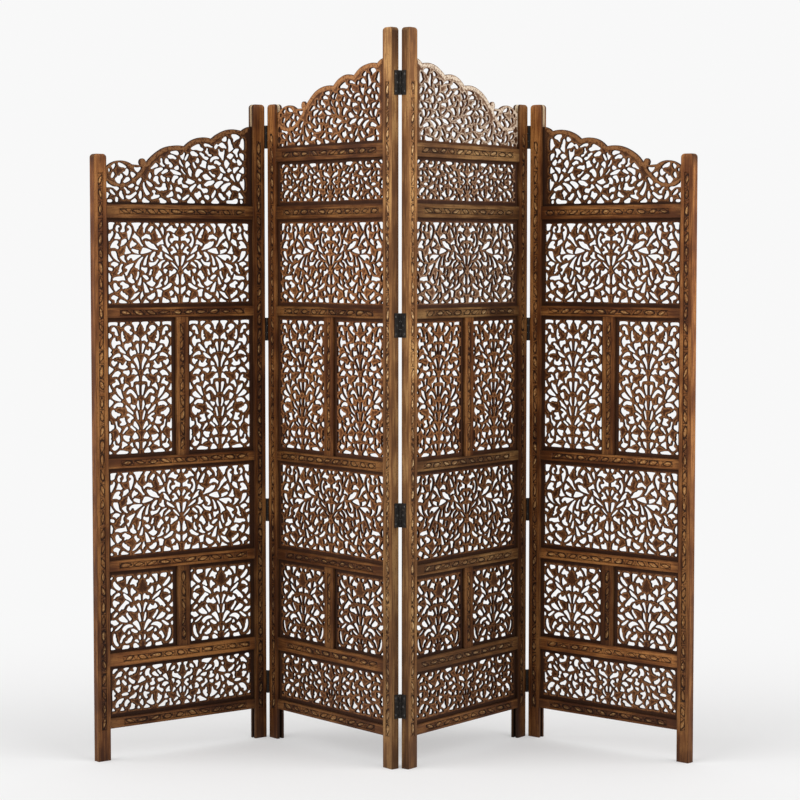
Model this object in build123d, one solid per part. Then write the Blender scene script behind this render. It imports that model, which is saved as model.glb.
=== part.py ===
"""Folding jali screen: four framed leaves of pierced panels, joined edge to edge by twelve butt hinges.

Each leaf is modelled lying in its own frame and then swung to its place in the zigzag.
In a leaf's frame x runs from the edge with the short stile to the edge with the tall one,
y runs from the front face to the back, and z runs up from the floor. Millimetres and degrees.
"""
import os
from math import cos, radians, sin

from build123d import *

# Frame of a leaf
leaf_width = 508
stile_width = 36
stile_thick = 22
stile_top_radius = 9
rail_thick = 20
muntin_width = 38
groove_width = 8
groove_depth = 8
seat_clearance = 0.3
tenon_inset = 1

# Rows of a leaf, from the floor up
leg_height = 80
bottom_rail_height = 26
base_panel_height = 131
base_rail_height = 34
short_panel_height = 207
short_rail_height = 28
lower_panel_height = 232
tall_rail_height = 26
tall_panel_height = 353
upper_rail_height = 26
upper_panel_height = 224
crest_rail_height = 35
frieze_panel_height = 114

# Crest and the stiles that rise past it
crest_height = 207
outer_stile_rise = 30
side_stile_rise = 57
centre_stile_rise = 72

# Pierced panels
panel_thick = 7.4
panel_border = 8
petal_shoulder = 0.62
wide_tile = (218, 228)
low_tile = (218, 131)
short_tile = (99.5, 207)
tall_tile = (99.5, 353)
crest_tile = (436, 207)
crest_low_level = 94

# Butt hinges
hinge_height = 60
hinge_plate_reach = 17
hinge_plate_thick = 2
hinge_knuckle_radius = 3
hinge_pin_radius = 1.5
hinge_bore_clearance = 0.05
hinge_end_clearance = 0.3
hinge_pin_grip = 12
hinge_knuckle_sides = 8
hinge_pin_sides = 6
pin_to_edge = 2.3
pin_to_face = 2.4
outer_fold_hinges = (148, 605, 1081)
centre_fold_hinges = (156, 633, 1102)
outer_top_hinge_drop = 84
centre_top_hinge_drop = 135

# Zigzag of the standing screen: how far each leaf is swung out of the screen's plane
left_outer_swing = 37
left_inner_swing = 50
right_inner_swing = 52
right_outer_swing = 41

# Levels that follow from the rows
rail_low, rail_high = stile_width, leaf_width - stile_width
inner_width = rail_high - rail_low
mid_plane = stile_thick / 2
panel_seat = groove_depth - 1
tenon_length = groove_depth - seat_clearance
tenon_thick = groove_width - 2 * seat_clearance
bottom_rail_z = leg_height
base_panel_z = bottom_rail_z + bottom_rail_height
base_rail_z = base_panel_z + base_panel_height
short_panel_z = base_rail_z + base_rail_height
short_rail_z = short_panel_z + short_panel_height
lower_panel_z = short_rail_z + short_rail_height
tall_rail_z = lower_panel_z + lower_panel_height
tall_panel_z = tall_rail_z + tall_rail_height
upper_rail_z = tall_panel_z + tall_panel_height
upper_panel_z = upper_rail_z + upper_rail_height
frieze_rail_z = upper_panel_z + upper_panel_height
frieze_panel_z = frieze_rail_z + crest_rail_height
inner_crest_rail_z = frieze_panel_z + frieze_panel_height
outer_crest_z = frieze_panel_z
inner_crest_z = inner_crest_rail_z + crest_rail_height
crest_low_height = crest_low_level * crest_height / crest_tile[1]
outer_stile_height = outer_crest_z + crest_low_height + outer_stile_rise
side_stile_height = outer_crest_z + crest_height + side_stile_rise
centre_stile_height = inner_crest_z + crest_height + centre_stile_rise


def block(x_range, y_range, z_range):
    """Square-cornered block between two x, two y and two z values."""
    low = (x_range[0], y_range[0], z_range[0])
    size = (x_range[1] - x_range[0], y_range[1] - y_range[0], z_range[1] - z_range[0])
    return Pos(*low) * Box(*size, align=(Align.MIN, Align.MIN, Align.MIN))


def front_prism(face, y_range):
    """Front-view face, drawn in x and z, given depth between two y values."""
    return extrude(Plane.XZ.offset(-y_range[1]) * face, amount=y_range[1] - y_range[0])


def grooved_section(width, thick, low_groove, high_groove):
    """Section of a grooved bar: width along x from 0, thickness centred on y = 0."""
    half = thick / 2
    slot = groove_width / 2
    points = [(0, -half), (width, -half)]
    if high_groove:
        depth = width - groove_depth
        points += [(width, -slot), (depth, -slot), (depth, slot), (width, slot)]
    points += [(width, half), (0, half)]
    if low_groove:
        points += [(0, slot), (groove_depth, slot), (groove_depth, -slot), (0, -slot)]
    return Polygon(*points, align=None)


def stile(height):
    """Upright at the low edge of a leaf: grooved on its inner edge, with a rounded top."""
    section = grooved_section(stile_width, stile_thick, False, True)
    bar = Pos(0, mid_plane, 0) * extrude(section, amount=height)
    outline = Pos(stile_width / 2, height / 2) * Rectangle(stile_width, height)
    outline = fillet(outline.vertices().group_by(Axis.Y)[-1], stile_top_radius)
    return bar & front_prism(outline, (0, stile_thick))


def high_side(piece):
    """The same piece at the other edge of the leaf."""
    return Pos(leaf_width, 0, 0) * mirror(piece, about=Plane.YZ)


def rail(z_low, height, low_groove=True):
    """Cross rail between the stiles, grooved for the panels, with a stub tenon at each end."""
    section = Plane.YZ * Rot(0, 0, 90) * grooved_section(height, rail_thick, low_groove, True)
    bar = Pos(rail_low, mid_plane, z_low) * extrude(section, amount=inner_width)
    tenon_low = z_low + tenon_inset + (groove_depth if low_groove else 0)
    tenon = block(
        (rail_low - tenon_length, rail_high + tenon_length),
        (mid_plane - tenon_thick / 2, mid_plane + tenon_thick / 2),
        (tenon_low, z_low + height - groove_depth - tenon_inset),
    )
    return bar + tenon


def muntin(z_low, height):
    """Short upright between two rails, grooved on both edges, with a stub tenon at each end."""
    x_low = (leaf_width - muntin_width) / 2
    bar = extrude(grooved_section(muntin_width, rail_thick, True, True), amount=height)
    tenon_margin = groove_depth + tenon_inset
    tenon = block(
        (x_low + tenon_margin, x_low + muntin_width - tenon_margin),
        (mid_plane - tenon_thick / 2, mid_plane + tenon_thick / 2),
        (z_low - tenon_length, z_low + height + tenon_length),
    )
    return Pos(x_low, mid_plane, z_low) * bar + tenon


def petal(node, start, angle, length, width):
    """Teardrop opening whose tip points back at the node that it springs from."""
    along = (cos(radians(angle)), sin(radians(angle)))
    across = (-along[1], along[0])
    points = []
    for reach, side in ((0, 0), (petal_shoulder, 0.5), (1, 0), (petal_shoulder, -0.5)):
        distance = start + reach * length
        points.append((
            node[0] + distance * along[0] + side * width * across[0],
            node[1] + distance * along[1] + side * width * across[1],
        ))
    return points


def spray(node, start, *petals):
    """Petals round one node of the tracery, each given as its angle, length and width."""
    return [petal(node, start, *size) for size in petals]


def both_halves(openings):
    """Openings of the right half of a pattern, repeated on the left of its stem at x = 0."""
    return openings + [[(-x, z) for x, z in points] for points in openings]


def laid_out(openings, tile, x_range, z_range):
    """Pattern drawn on a tile of half-width by height, stretched to fill an opening of the frame."""
    stem = (x_range[0] + x_range[1]) / 2
    x_scale = (x_range[1] - x_range[0]) / (2 * tile[0])
    z_scale = (z_range[1] - z_range[0]) / tile[1]
    return [[(stem + x * x_scale, z_range[0] + z * z_scale) for x, z in points] for points in openings]


def wide_pattern():
    """Palmette on the stem, a leaning one in each half, and a spandrel in each top corner."""
    stem, side = (0, 62), (140, 62)
    half = spray(stem, 12, (60, 98, 32), (22, 64, 28), (-28, 86, 24))
    half += spray(side, 11, (92, 128, 32), (50, 82, 28), (128, 82, 26))
    half.append([(160, 217), (207, 217), (207, 158)])
    return spray(stem, 10, (90, 138, 30)) + both_halves(half)


def low_pattern():
    """Row of three spreading sprays that grow from the bottom edge."""
    stem, side = (0, 14), (148, 14)
    half = spray(stem, 12, (52, 84, 24), (18, 72, 22))
    half += spray(side, 11, (90, 88, 24), (47, 70, 24))
    return spray(stem, 10, (90, 92, 24)) + both_halves(half)


def upright_pattern(tiers, pitch):
    """Stem with one three-petalled spray above another."""
    openings = []
    for tier in range(tiers):
        node = (0, 14 + tier * pitch)
        openings += spray(node, 12, (90, pitch - 26, 38))
        openings += both_halves(spray(node, 12, (40, 92, 36)))
    return openings


def crest_pattern():
    """Great palmette under the scallops, a small spray at the low end and a flower in the lobe."""
    openings = spray((300, 22), 12, (90, 112, 30), (58, 122, 30), (122, 98, 28), (26, 108, 28), (154, 92, 26))
    openings += spray((110, 14), 10, (90, 54, 22), (42, 70, 22))
    return openings + spray((42, 68), 5, (90, 26, 16), (30, 24, 14), (150, 24, 14))


def pierced_panel(outline, openings):
    """Thin carved board with its openings, standing in the grooves of the frame."""
    board = Face(outline, [Polyline(*points, close=True) for points in openings])
    return front_prism(board, (mid_plane - panel_thick / 2, mid_plane + panel_thick / 2))


def board_outline(x_range, z_range):
    """Edge of a board that reaches into the grooves round an opening of the frame."""
    x_low, x_high = x_range[0] - panel_seat, x_range[1] + panel_seat
    z_low, z_high = z_range[0] - panel_seat, z_range[1] + panel_seat
    return Polyline((x_low, z_low), (x_high, z_low), (x_high, z_high), (x_low, z_high), close=True)


def framed_panel(openings, tile, x_range, z_range):
    """Panel held in grooves on all four edges."""
    return pierced_panel(board_outline(x_range, z_range), laid_out(openings, tile, x_range, z_range))


def wide_panel(z_low, height):
    return framed_panel(wide_pattern(), wide_tile, (rail_low, rail_high), (z_low, z_low + height))


def low_panel(z_low, height):
    return framed_panel(low_pattern(), low_tile, (rail_low, rail_high), (z_low, z_low + height))


def upright_panels(z_low, height, tiers, tile):
    """Pair of panels either side of a muntin."""
    pattern = upright_pattern(tiers, (tile[1] - 2 * panel_border) / tiers)
    muntin_low = (leaf_width - muntin_width) / 2
    bays = ((rail_low, muntin_low), (muntin_low + muntin_width, rail_high))
    return [framed_panel(pattern, tile, bay, (z_low, z_low + height)) for bay in bays]


def crest_panel(z_low):
    """Crest: a round lobe and a knob at the low end, then three scallops climbing to the tall stile."""
    low, high = rail_low, rail_high
    x_scale = inner_width / crest_tile[0]
    z_scale = crest_height / crest_tile[1]

    def at(x, z):
        return (low + x * x_scale, z_low + z * z_scale)

    left, right = low - panel_seat, high + panel_seat
    floor = z_low - panel_seat
    top_right = (right, z_low + crest_height)
    low_corner = (left, at(0, crest_low_level)[1])
    edges = [
        Line((left, floor), (right, floor)),
        Line((right, floor), top_right),
        Line(top_right, at(436, 207)),
        ThreePointArc(at(436, 207), at(419, 203), at(405, 193)),
        ThreePointArc(at(405, 193), at(357, 194), at(313, 171)),
        ThreePointArc(at(313, 171), at(274, 173), at(232, 149)),
        ThreePointArc(at(232, 149), at(165, 143), at(117, 106)),
        ThreePointArc(at(117, 106), at(107, 117), at(102, 99)),
        Line(at(102, 99), at(78, 100)),
        ThreePointArc(at(78, 100), at(42, 110), at(4, crest_low_level)),
        Line(at(4, crest_low_level), low_corner),
        Line(low_corner, (left, floor)),
    ]
    openings = [[at(x, z) for x, z in points] for points in crest_pattern()]
    return pierced_panel(Wire(edges), openings)


def hinge_half(middle):
    """Half of a butt hinge on its pin axis; the stile lies towards -x and the plate runs along +y.

    One half carries the middle knuckle, bored for the pin. The other carries the two end
    knuckles and the pin, which is riveted into them. Barrel, bore and pin are faceted.
    """
    third = hinge_height / 3
    root = hinge_knuckle_radius + hinge_end_clearance
    base = -hinge_height / 2
    if middle:
        low, high = base + third, base + 2 * third
        outline = [(root, base), (hinge_plate_reach, base), (hinge_plate_reach, -base), (root, -base)]
        outline += [(root, high), (0, high), (0, low), (root, low)]
        spans = [(low, high)]
    else:
        low, high = base + third - hinge_end_clearance, base + 2 * third + hinge_end_clearance
        outline = [(0, base), (hinge_plate_reach, base), (hinge_plate_reach, -base), (0, -base)]
        outline += [(0, high), (root, high), (root, low), (0, low)]
        spans = [(base, low), (high, -base)]
    plate = extrude(Plane.YZ.offset(-pin_to_edge) * Polygon(*outline, align=None), amount=hinge_plate_thick)
    knuckle = RegularPolygon(hinge_knuckle_radius, hinge_knuckle_sides)
    for bottom, top in spans:
        plate += Pos(0, 0, bottom) * extrude(knuckle, amount=top - bottom)
    if middle:
        bore_flats = hinge_pin_radius + hinge_bore_clearance
        bore = RegularPolygon(bore_flats, hinge_pin_sides, major_radius=False)
        return plate - Pos(0, 0, low) * extrude(bore, amount=high - low)
    pin = RegularPolygon(hinge_pin_radius, hinge_pin_sides)
    return plate + Pos(0, 0, low - hinge_pin_grip) * extrude(pin, amount=high - low + 2 * hinge_pin_grip)


def hinges(heights, middle, x_edge, at_front):
    """Hinge halves let onto one edge of a leaf, in the leaf's frame."""
    half = hinge_half(middle)
    if x_edge == 0:
        half = Pos(-pin_to_edge, 0, 0) * mirror(half, about=Plane.YZ)
    else:
        half = Pos(leaf_width + pin_to_edge, 0, 0) * half
    if at_front:
        half = Pos(0, -pin_to_face, 0) * half
    else:
        half = Pos(0, stile_thick + pin_to_face, 0) * mirror(half, about=Plane.XZ)
    return [Pos(0, 0, height) * half for height in heights]


def leaf_pieces(inner):
    """All the wooden pieces of a leaf, by name, each name with a list of its solids."""
    crest_z = inner_crest_z if inner else outer_crest_z
    stile_heights = (outer_stile_height, side_stile_height)
    cross_rails = [
        rail(base_rail_z, base_rail_height),
        rail(short_rail_z, short_rail_height),
        rail(tall_rail_z, tall_rail_height),
        rail(upper_rail_z, upper_rail_height),
    ]
    if inner:
        stile_heights = (side_stile_height, centre_stile_height)
        cross_rails.append(rail(frieze_rail_z, crest_rail_height))
    pieces = {
        "low_stile": [stile(stile_heights[0])],
        "high_stile": [high_side(stile(stile_heights[1]))],
        "bottom_rail": [rail(bottom_rail_z, bottom_rail_height, low_groove=False)],
        "cross_rails": cross_rails,
        "crest_rail": [rail(crest_z - crest_rail_height, crest_rail_height)],
        "muntins": [muntin(short_panel_z, short_panel_height), muntin(tall_panel_z, tall_panel_height)],
        "base_panel": [low_panel(base_panel_z, base_panel_height)],
        "short_panels": upright_panels(short_panel_z, short_panel_height, 2, short_tile),
        "lower_panel": [wide_panel(lower_panel_z, lower_panel_height)],
        "tall_panels": upright_panels(tall_panel_z, tall_panel_height, 3, tall_tile),
        "upper_panel": [wide_panel(upper_panel_z, upper_panel_height)],
        "crest_panel": [crest_panel(crest_z)],
    }
    if inner:
        pieces["frieze_panel"] = [low_panel(frieze_panel_z, frieze_panel_height)]
    return pieces


def half_screen(side, outer_swing, inner_swing, centre_middle):
    """An outer and an inner leaf hung from the centre pin, drawn as the left half of the screen."""
    pin_past_edge = leaf_width + pin_to_edge
    pin_behind = stile_thick + pin_to_face
    inner_place = Rot(0, 0, -inner_swing) * Pos(-pin_past_edge, -pin_behind, 0)
    fold_pin = (inner_place * Pos(-pin_to_edge, -pin_to_face, 0)).position
    outer_place = Pos(*fold_pin) * Rot(0, 0, outer_swing) * Pos(-pin_past_edge, pin_to_face, 0)

    fold_heights = (*outer_fold_hinges, side_stile_height - outer_top_hinge_drop)
    centre_heights = (*centre_fold_hinges, centre_stile_height - centre_top_hinge_drop)
    centre_kind = "sleeve" if centre_middle else "pin"
    nodes = {}
    for leaf, place in (("outer", outer_place), ("inner", inner_place)):
        for name, solids in leaf_pieces(leaf == "inner").items():
            nodes[f"{side}_{leaf}_{name}"] = [place * solid for solid in solids]
    nodes[f"{side}_fold_sleeve_hinges"] = [
        outer_place * half for half in hinges(fold_heights, True, leaf_width, at_front=True)
    ]
    nodes[f"{side}_fold_pin_hinges"] = [
        inner_place * half for half in hinges(fold_heights, False, 0, at_front=True)
    ]
    nodes[f"centre_fold_{centre_kind}_hinges"] = [
        inner_place * half for half in hinges(centre_heights, centre_middle, leaf_width, at_front=False)
    ]
    return nodes


def screen():
    """Every node of the standing screen, centred over the origin with its feet at z = 0."""
    nodes = half_screen("left", left_outer_swing, left_inner_swing, centre_middle=False)
    right = half_screen("right", right_outer_swing, right_inner_swing, centre_middle=True)
    for name, solids in right.items():
        nodes[name] = [mirror(solid, about=Plane.YZ) for solid in solids]
    middle = Compound([part.solid() for solids in nodes.values() for part in solids]).bounding_box().center()
    to_centre = Pos(-middle.X, -middle.Y, 0)
    return {name: [to_centre * solid for solid in solids] for name, solids in nodes.items()}


os.makedirs("parts", exist_ok=True)
for node, solids in screen().items():
    export_step(Compound([part.solid() for part in solids]), f"parts/{node}.step")
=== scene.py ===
"""Looks of the carved folding screen: pierced boards, carved frame bars, iron hinges and a plain studio.

Wood is modelled leaf by leaf in the leaf's own frame, in millimetres: x from the edge of the low
stile, y from the front face to the back, z up. Right-hand leaves are mirrored.
"""

import math
from collections import namedtuple

import bpy
import numpy as np
from mathutils import Matrix, Vector


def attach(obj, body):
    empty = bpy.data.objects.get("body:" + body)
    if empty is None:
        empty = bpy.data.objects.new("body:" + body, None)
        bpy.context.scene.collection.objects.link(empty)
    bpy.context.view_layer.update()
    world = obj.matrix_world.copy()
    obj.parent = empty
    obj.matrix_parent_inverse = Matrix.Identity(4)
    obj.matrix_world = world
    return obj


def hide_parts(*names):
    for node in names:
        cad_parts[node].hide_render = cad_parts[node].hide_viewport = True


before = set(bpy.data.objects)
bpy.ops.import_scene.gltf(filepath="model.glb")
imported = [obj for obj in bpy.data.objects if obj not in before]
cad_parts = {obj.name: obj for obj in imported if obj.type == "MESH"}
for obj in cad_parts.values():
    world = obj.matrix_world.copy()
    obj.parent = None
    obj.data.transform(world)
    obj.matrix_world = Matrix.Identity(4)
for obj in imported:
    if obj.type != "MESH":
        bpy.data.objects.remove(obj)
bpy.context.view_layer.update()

# Openings of the wide fretwork, right half: x from the stem, z from the rail below, in millimetres.
WIDE = [
    # up the stem
    [(11,27.5),(14,29),(16,27),(17,23.5),(26.5,23),(25.5,17),(23.5,12.5),(8.5,12.5),(8,17),(9,22)],
    [(12,52),(15.5,53.5),(17,50),(16.5,44),(13,40),(8,35),(4.5,33),(3,38),(3.5,48),(8,50)],
    [(5.5,84),(10,84),(10.5,78),(13,75),(13.5,70),(15.5,66.5),(13,62),(9,58.5),(4,59.5),(3,68),(4,78)],
    [(5,131),(9,132),(14.5,132.5),(15.5,130),(14,124),(11,116),(7,109),(4,106.5),(3,112),(4,121),(4.5,128)],
    [(6,163),(8.5,165),(10,164),(13.5,159.5),(10,154.5),(7,150),(4.5,149),(3,153),(3.5,158)],
    [(8.5,142.5),(11,146),(15,152),(19,155.5),(24,156),(26.5,153),(22,151),(20.5,147.5),(23,144.5),(28,142),
     (26.5,139),(24,135),(21,136.5),(18,139.5),(12,141)],
    [(4,181),(10,183),(15,187),(19,188.5),(22,186.5),(19.5,183),(18,179.5),(21,177),(26,177),(29.5,174.5),
     (28.5,170.5),(25,166),(22,165.5),(19,169.5),(15,172.5),(9,172.5),(4.5,171.5),(3.5,176)],
    [(21,209.5),(26,210),(31,206.5),(36,201),(39,197.5),(35,197),(29,197),(23,194.5),(18,192),(14.5,193),
     (12.5,197),(8.5,199.5),(10,202.5),(15,203),(20,205)],
    [(3,215.5),(12.5,216),(13,213),(11,209.5),(8,207),(5.5,207),(3,211.5)],
    [(32,191),(34.5,191),(38,186),(41,179),(41.5,171),(40,163),(37,157),(35,154),(32.5,155),(29,159.5),
     (27.5,162.5),(31,165),(34.5,171),(34.5,178),(32,182.5),(28.5,185),(30,188.5)],
    # fan that springs from the node
    [(6,98),(8,102),(12,106.5),(17,111.5),(23,115.5),(25.5,114.5),(23.5,111),(18,105),(12,101),(7,97)],
    [(19.5,120.5),(24,125),(30,130),(37,134.5),(41.5,137),(43.5,134.5),(41.5,130),(36,126),(29,122.5),
     (22,120)],
    [(31.5,138.5),(34.5,143.5),(39,150),(43.5,155),(48,158.5),(53,159),(53.5,157),(50.5,153),(51,147.5),
     (45,143),(38,139.5),(32.5,137.5)],
    [(31.5,113),(33,116),(37,116),(43,111.5),(48,105.5),(48.5,102),(46,102),(41,105.5),(35,109),(32,111)],
    [(42,120),(46,121),(52,119.5),(58,115.5),(63,110.5),(64.5,107),(61.5,104),(59.5,100),(56.5,99.5),
     (54.5,103),(53,110),(49,115),(43.5,118)],
    [(61.5,121),(64,123.5),(67,122.5),(71,117.5),(76,115.5),(82,115),(87,116),(90,114.5),(89,109),(86.5,105),
     (83,105),(78,107),(72,108.5),(67,113)],
    [(15,98),(19,97.5),(22,93.5),(24.5,92),(29,94.5),(31.5,92),(31,86),(32.5,80.5),(30,78.5),(27,80),
     (21,84.5),(14,87.5),(10.5,91),(11,94)],
    [(36,96),(40,97.5),(46,98.5),(48,94),(46,89),(43,87),(40,88.5),(38,92)],
    # scrolls below the branches
    [(36.5,78),(41,78.5),(40.5,71.5),(44,67),(46,62),(45.5,58),(42,57.5),(37,62.5),(35.5,67),(35.5,74)],
    [(51.5,73.5),(55,72.5),(58,69),(61,62),(65,55.5),(71.5,51),(70,49.5),(64,50),(57,52),(52,55.5),(53,58.5),
     (56,61.5),(54.5,64.5),(50.5,67.5),(50.5,71)],
    [(57,92.5),(60,94),(64,92),(65,88.5),(69,85),(70,80.5),(72.5,77.5),(71,73.5),(66,70.5),(63,72.5),(59,78),
     (52.5,82),(51.5,84),(54,88.5)],
    [(79.5,95.5),(82.5,98),(86,96),(88.5,88),(90,84.5),(87,82.5),(83.5,84),(81.5,88),(82,92)],
    [(80.5,78),(83,76.5),(84,71.5),(88,67.5),(96.5,63.5),(95,61),(88,56),(81,53.5),(75,56),(71.5,60),
     (71.5,63),(78,66.5),(79,71)],
    [(90,75),(95,80.5),(100,82.5),(106.5,82.5),(108,80.5),(104,76),(99,71.5),(95,70.5),(91.5,72)],
    [(94,101),(97,101.5),(103,101),(108,103.5),(111.5,102),(111,96.5),(105,93.5),(102.5,90),(100,87.5),
     (97,89),(95,93)],
    [(24,60),(29,61.5),(33,59.5),(39,55),(46,50.5),(51.5,48),(49,44.5),(44,44.5),(36,47.5),(29,50.5),(26,54),
     (24,57)],
    [(77.5,47),(83,48.5),(88.5,50),(86,45.5),(82.5,43),(79.5,44.5)],
    [(90.5,38.5),(90.5,42),(95,51),(99,58),(105,64),(106.5,63),(105.5,55),(104,47),(102.5,39),(98,38)],
    # along the bottom
    [(23.5,41.5),(27.5,41.5),(32,38.5),(29,34),(29.5,29.5),(25.5,29),(18.5,35.5)],
    [(46,24),(49,25),(51,21),(52,13),(50,12),(32.5,12),(31.5,16),(34,19),(38,19.5),(42,22)],
    [(51,40.5),(55,43),(61,44.5),(67.5,44.5),(68,42),(65.5,37),(64.5,28),(63,27),(55,27),(53.5,32),
     (52.5,37)],
    [(62,20.5),(65,21),(70,17),(77,13.5),(76,12),(62,12),(61.5,15)],
    [(74,37.5),(77,35.5),(82,34.5),(87,30.5),(94,27.5),(95,25.5),(91,21.5),(85,20),(79,21),(74,26),(72,31)],
    [(89,13),(97,18.5),(101,20),(104,16),(105.5,12),(89,12)],
    [(108.5,40.5),(110.5,40),(113.5,34.5),(115,28),(114.5,22),(112,21),(109.5,25.5),(105.5,29),(107,34)],
    [(117,39.5),(121,38.5),(127,36),(132.5,34),(135.5,29.5),(140,25),(143.5,21.5),(142,19.5),(136,21),
     (129,25),(122.5,31),(118,36)],
    [(120,22),(123,21.5),(129,17.5),(137.5,13),(135,12),(117.5,12),(117,15.5),(119,19)],
    [(153.5,13.5),(159,16.5),(166,19.5),(171,20.5),(175,17),(174,12),(156,12)],
    [(166,41.5),(169.5,41.5),(171.5,38),(171,33.5),(167,29.5),(161,25),(155,21),(151.5,21.5),(150,26),
     (150.5,30.5),(155,31.5),(159,36),(163.5,37.5)],
    [(177.5,26),(183,29),(189,31.5),(194,30),(197.5,25.5),(195.5,22),(190,20.5),(187.5,18),(187,13),
     (183.5,12.5),(182.5,17),(180.5,21),(178,23.5)],
    [(202,18.5),(204.5,17.5),(204.5,12.5),(199,12),(197.5,14)],
    # side branch: leaves that fan out towards the edge
    [(91.5,133.5),(95,133),(99,129),(102.5,122.5),(105,115),(106,109.5),(104,108),(98.5,108.5),(97,112),
     (96,120),(94.5,127)],
    [(106,128.5),(110,129),(116,124.5),(122,118),(127,111),(130.5,104),(128,102),(122.5,100),(119.5,96.5),
     (117,98),(116.5,104),(115,112),(111,120)],
    [(133.5,113),(138,112.5),(146,109.5),(153,106.5),(158,102.5),(157,100.5),(152.5,98.5),(151.5,95),
     (153.5,91.5),(158.5,89),(157.5,86.5),(155,82.5),(152,82),(149.5,87),(146,93),(143,98.5),(138,104),
     (134.5,110)],
    [(112,132.5),(118,134),(130,134.5),(141,134.5),(148,131.5),(152,127),(151,123),(148,120.5),(145.5,122.5),
     (143,126.5),(139,126),(137,121.5),(134,120),(128,122.5),(120,127.5)],
    [(81.5,145.5),(88,149),(96,151.5),(103,152.5),(108,152),(110.5,147.5),(114,139),(110,137.5),(103,138.5),
     (94,140.5),(86,143)],
    [(63.5,149),(68,153),(72,159),(76,162.5),(81,164),(85,167.5),(90,169.5),(94,168.5),(98,170.5),
     (101,168.5),(99,162.5),(94,157),(86,152.5),(76,150),(67,148)],
    [(128.5,190.5),(130.5,190),(133,185.5),(136.5,180),(134,177.5),(128.5,175),(123,169.5),(117,163.5),
     (112,157.5),(107,157),(106.5,159),(111,164),(114.5,171),(117,177.5),(120.5,181.5),(125,185)],
    [(117.5,90.5),(120.5,92),(123.5,90.5),(124,84),(126,79.5),(128.5,74),(127,70.5),(124.5,70.5),(121,76),
     (118.5,83)],
    [(112,77),(115,76.5),(118,70),(120,64.5),(123,58.5),(119,57),(114.5,57),(112.5,62),(111.5,70)],
    [(139,84.5),(142.5,85),(143,80),(146,77),(150,74),(149,69),(145,65),(139,62.5),(132,63),(131,66),
     (134.5,71.5),(137.5,73.5),(137,78)],
    [(130.5,56.5),(135.5,56.5),(138,53),(136.5,49),(133,44.5),(130.5,40.5),(128,40.5),(124,43.5),(121,46.5),
     (123.5,48.5),(128,50.5)],
    # crooks beside the node of the side branch
    [(69.5,141.5),(74,142.5),(79,140),(84,134.5),(87,127.5),(86,122.5),(82.5,119.5),(77,119.5),(78.5,123.5),
     (79,127),(76,129),(73,131.5),(71.5,136)],
    [(51,141),(56.5,142),(58,138.5),(60,135),(65,132.5),(64.5,129.5),(60,126),(54,124.5),(47,125),(50,129),
     (51,133)],
    [(49.5,173.5),(53,174),(58,169.5),(64,166),(67.5,163.5),(66,160),(63.5,157.5),(60.5,159),(57.5,162),
     (52,162.5),(46.5,162.5),(48,167)],
    [(119,146),(124,147.5),(130,149),(137,150),(139.5,147),(137,143.5),(132,140.5),(124,138),(119,137.5),
     (120,142)],
    [(134.5,170.5),(137.5,171),(141,167),(143.5,161.5),(143.5,155.5),(141.5,152),(139.5,152.5),(136,156.5),
     (131,157.5),(127.5,160.5),(124.5,162.5),(127,165),(132,167)],
    [(82.5,177),(85,181),(87,185.5),(92,186.5),(97,188),(101,186),(106,182),(110.5,179.5),(110.5,175.5),
     (108,172),(106,173.5),(103,176.5),(97,178),(91,176),(86,174.5)],
    # along the top
    [(31.5,216),(47,216),(46.5,212.5),(43.5,208.5),(41.5,206.5),(38,209),(33,213)],
    [(49,206.5),(52.5,206.5),(56,201.5),(53.5,196),(50.5,190),(48,186),(46.5,188),(46,195),(47,202)],
    [(67,202.5),(69.5,202),(70.5,198),(68.5,193),(67.5,188.5),(64.5,185.5),(64.5,179.5),(60,179),(54,180),
     (54.5,184),(58,190),(62,196.5)],
    [(58.5,216),(72.5,216),(70,213),(65,209),(62.5,206.5),(60.5,210),(58.5,213.5)],
    [(77,207.5),(80,209),(84,208),(89,203),(92,199),(91,196.5),(87,195.5),(84.5,191.5),(82.5,193),(81.5,197),
     (78,200.5),(76,204.5)],
    [(90,215.5),(96,216),(103,216),(106.5,211),(107,206.5),(104.5,203.5),(106.5,199),(105,192.5),(102,191.5),
     (100.5,196),(99.5,202),(96.5,207.5),(92,212)],
    [(113,216),(138,216),(137,212.5),(133.5,208),(131.5,202),(130,197),(127,195),(124.5,195.5),(123,200.5),
     (120,202.5),(118,207.5),(114.5,210.5),(112.5,213.5)],
    [(143.5,208.5),(147,209.5),(151,207),(150.5,204),(146.5,202.5),(145.5,199),(149,196),(152,193.5),
     (150.5,188),(150,181),(148.5,174.5),(146.5,172.5),(144,176),(141,184),(138.5,191),(138,199),(140,205)],
    [(153.5,216),(170,216),(168.5,212.5),(166,208),(166,203),(169,198),(171,195.5),(168,193.5),(160,194),
     (157.5,197),(158.5,203),(158,208),(155,212)],
    [(175,209.5),(180,210),(183,206.5),(184.5,201),(183,196.5),(180.5,194.5),(175.5,195),(176,198.5),
     (177,203),(175,205),(172,206),(173,208.5)],
    [(187,216),(203,216),(203.5,210),(203,200),(198,199.5),(192,202),(190.5,208),(188,212.5)],
    # towards the edge
    [(192,194.5),(195.5,195),(197,191.5),(200,188.5),(204,187.5),(204.5,178),(203.5,170),(201,170),(197,176),
     (192.5,183),(190.5,190)],
    [(178.5,190),(182,190.5),(184,186),(186,180.5),(188,177),(186,175.5),(180,175.5),(173,174.5),(169.5,177),
     (170,179),(173,182),(174.5,186)],
    [(154,174.5),(158,175),(164,172.5),(167.5,170),(168.5,164),(170.5,158.5),(168.5,157),(165,159),(160,161),
     (156,164.5),(152,168),(152,171)],
    [(177,169.5),(183,170.5),(188,169.5),(193,165),(197,159),(199,153),(194,153),(187,153),(182,150.5),
     (177,150.5),(175,154),(176,157),(180,159.5),(179,163),(176.5,165.5)],
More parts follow.
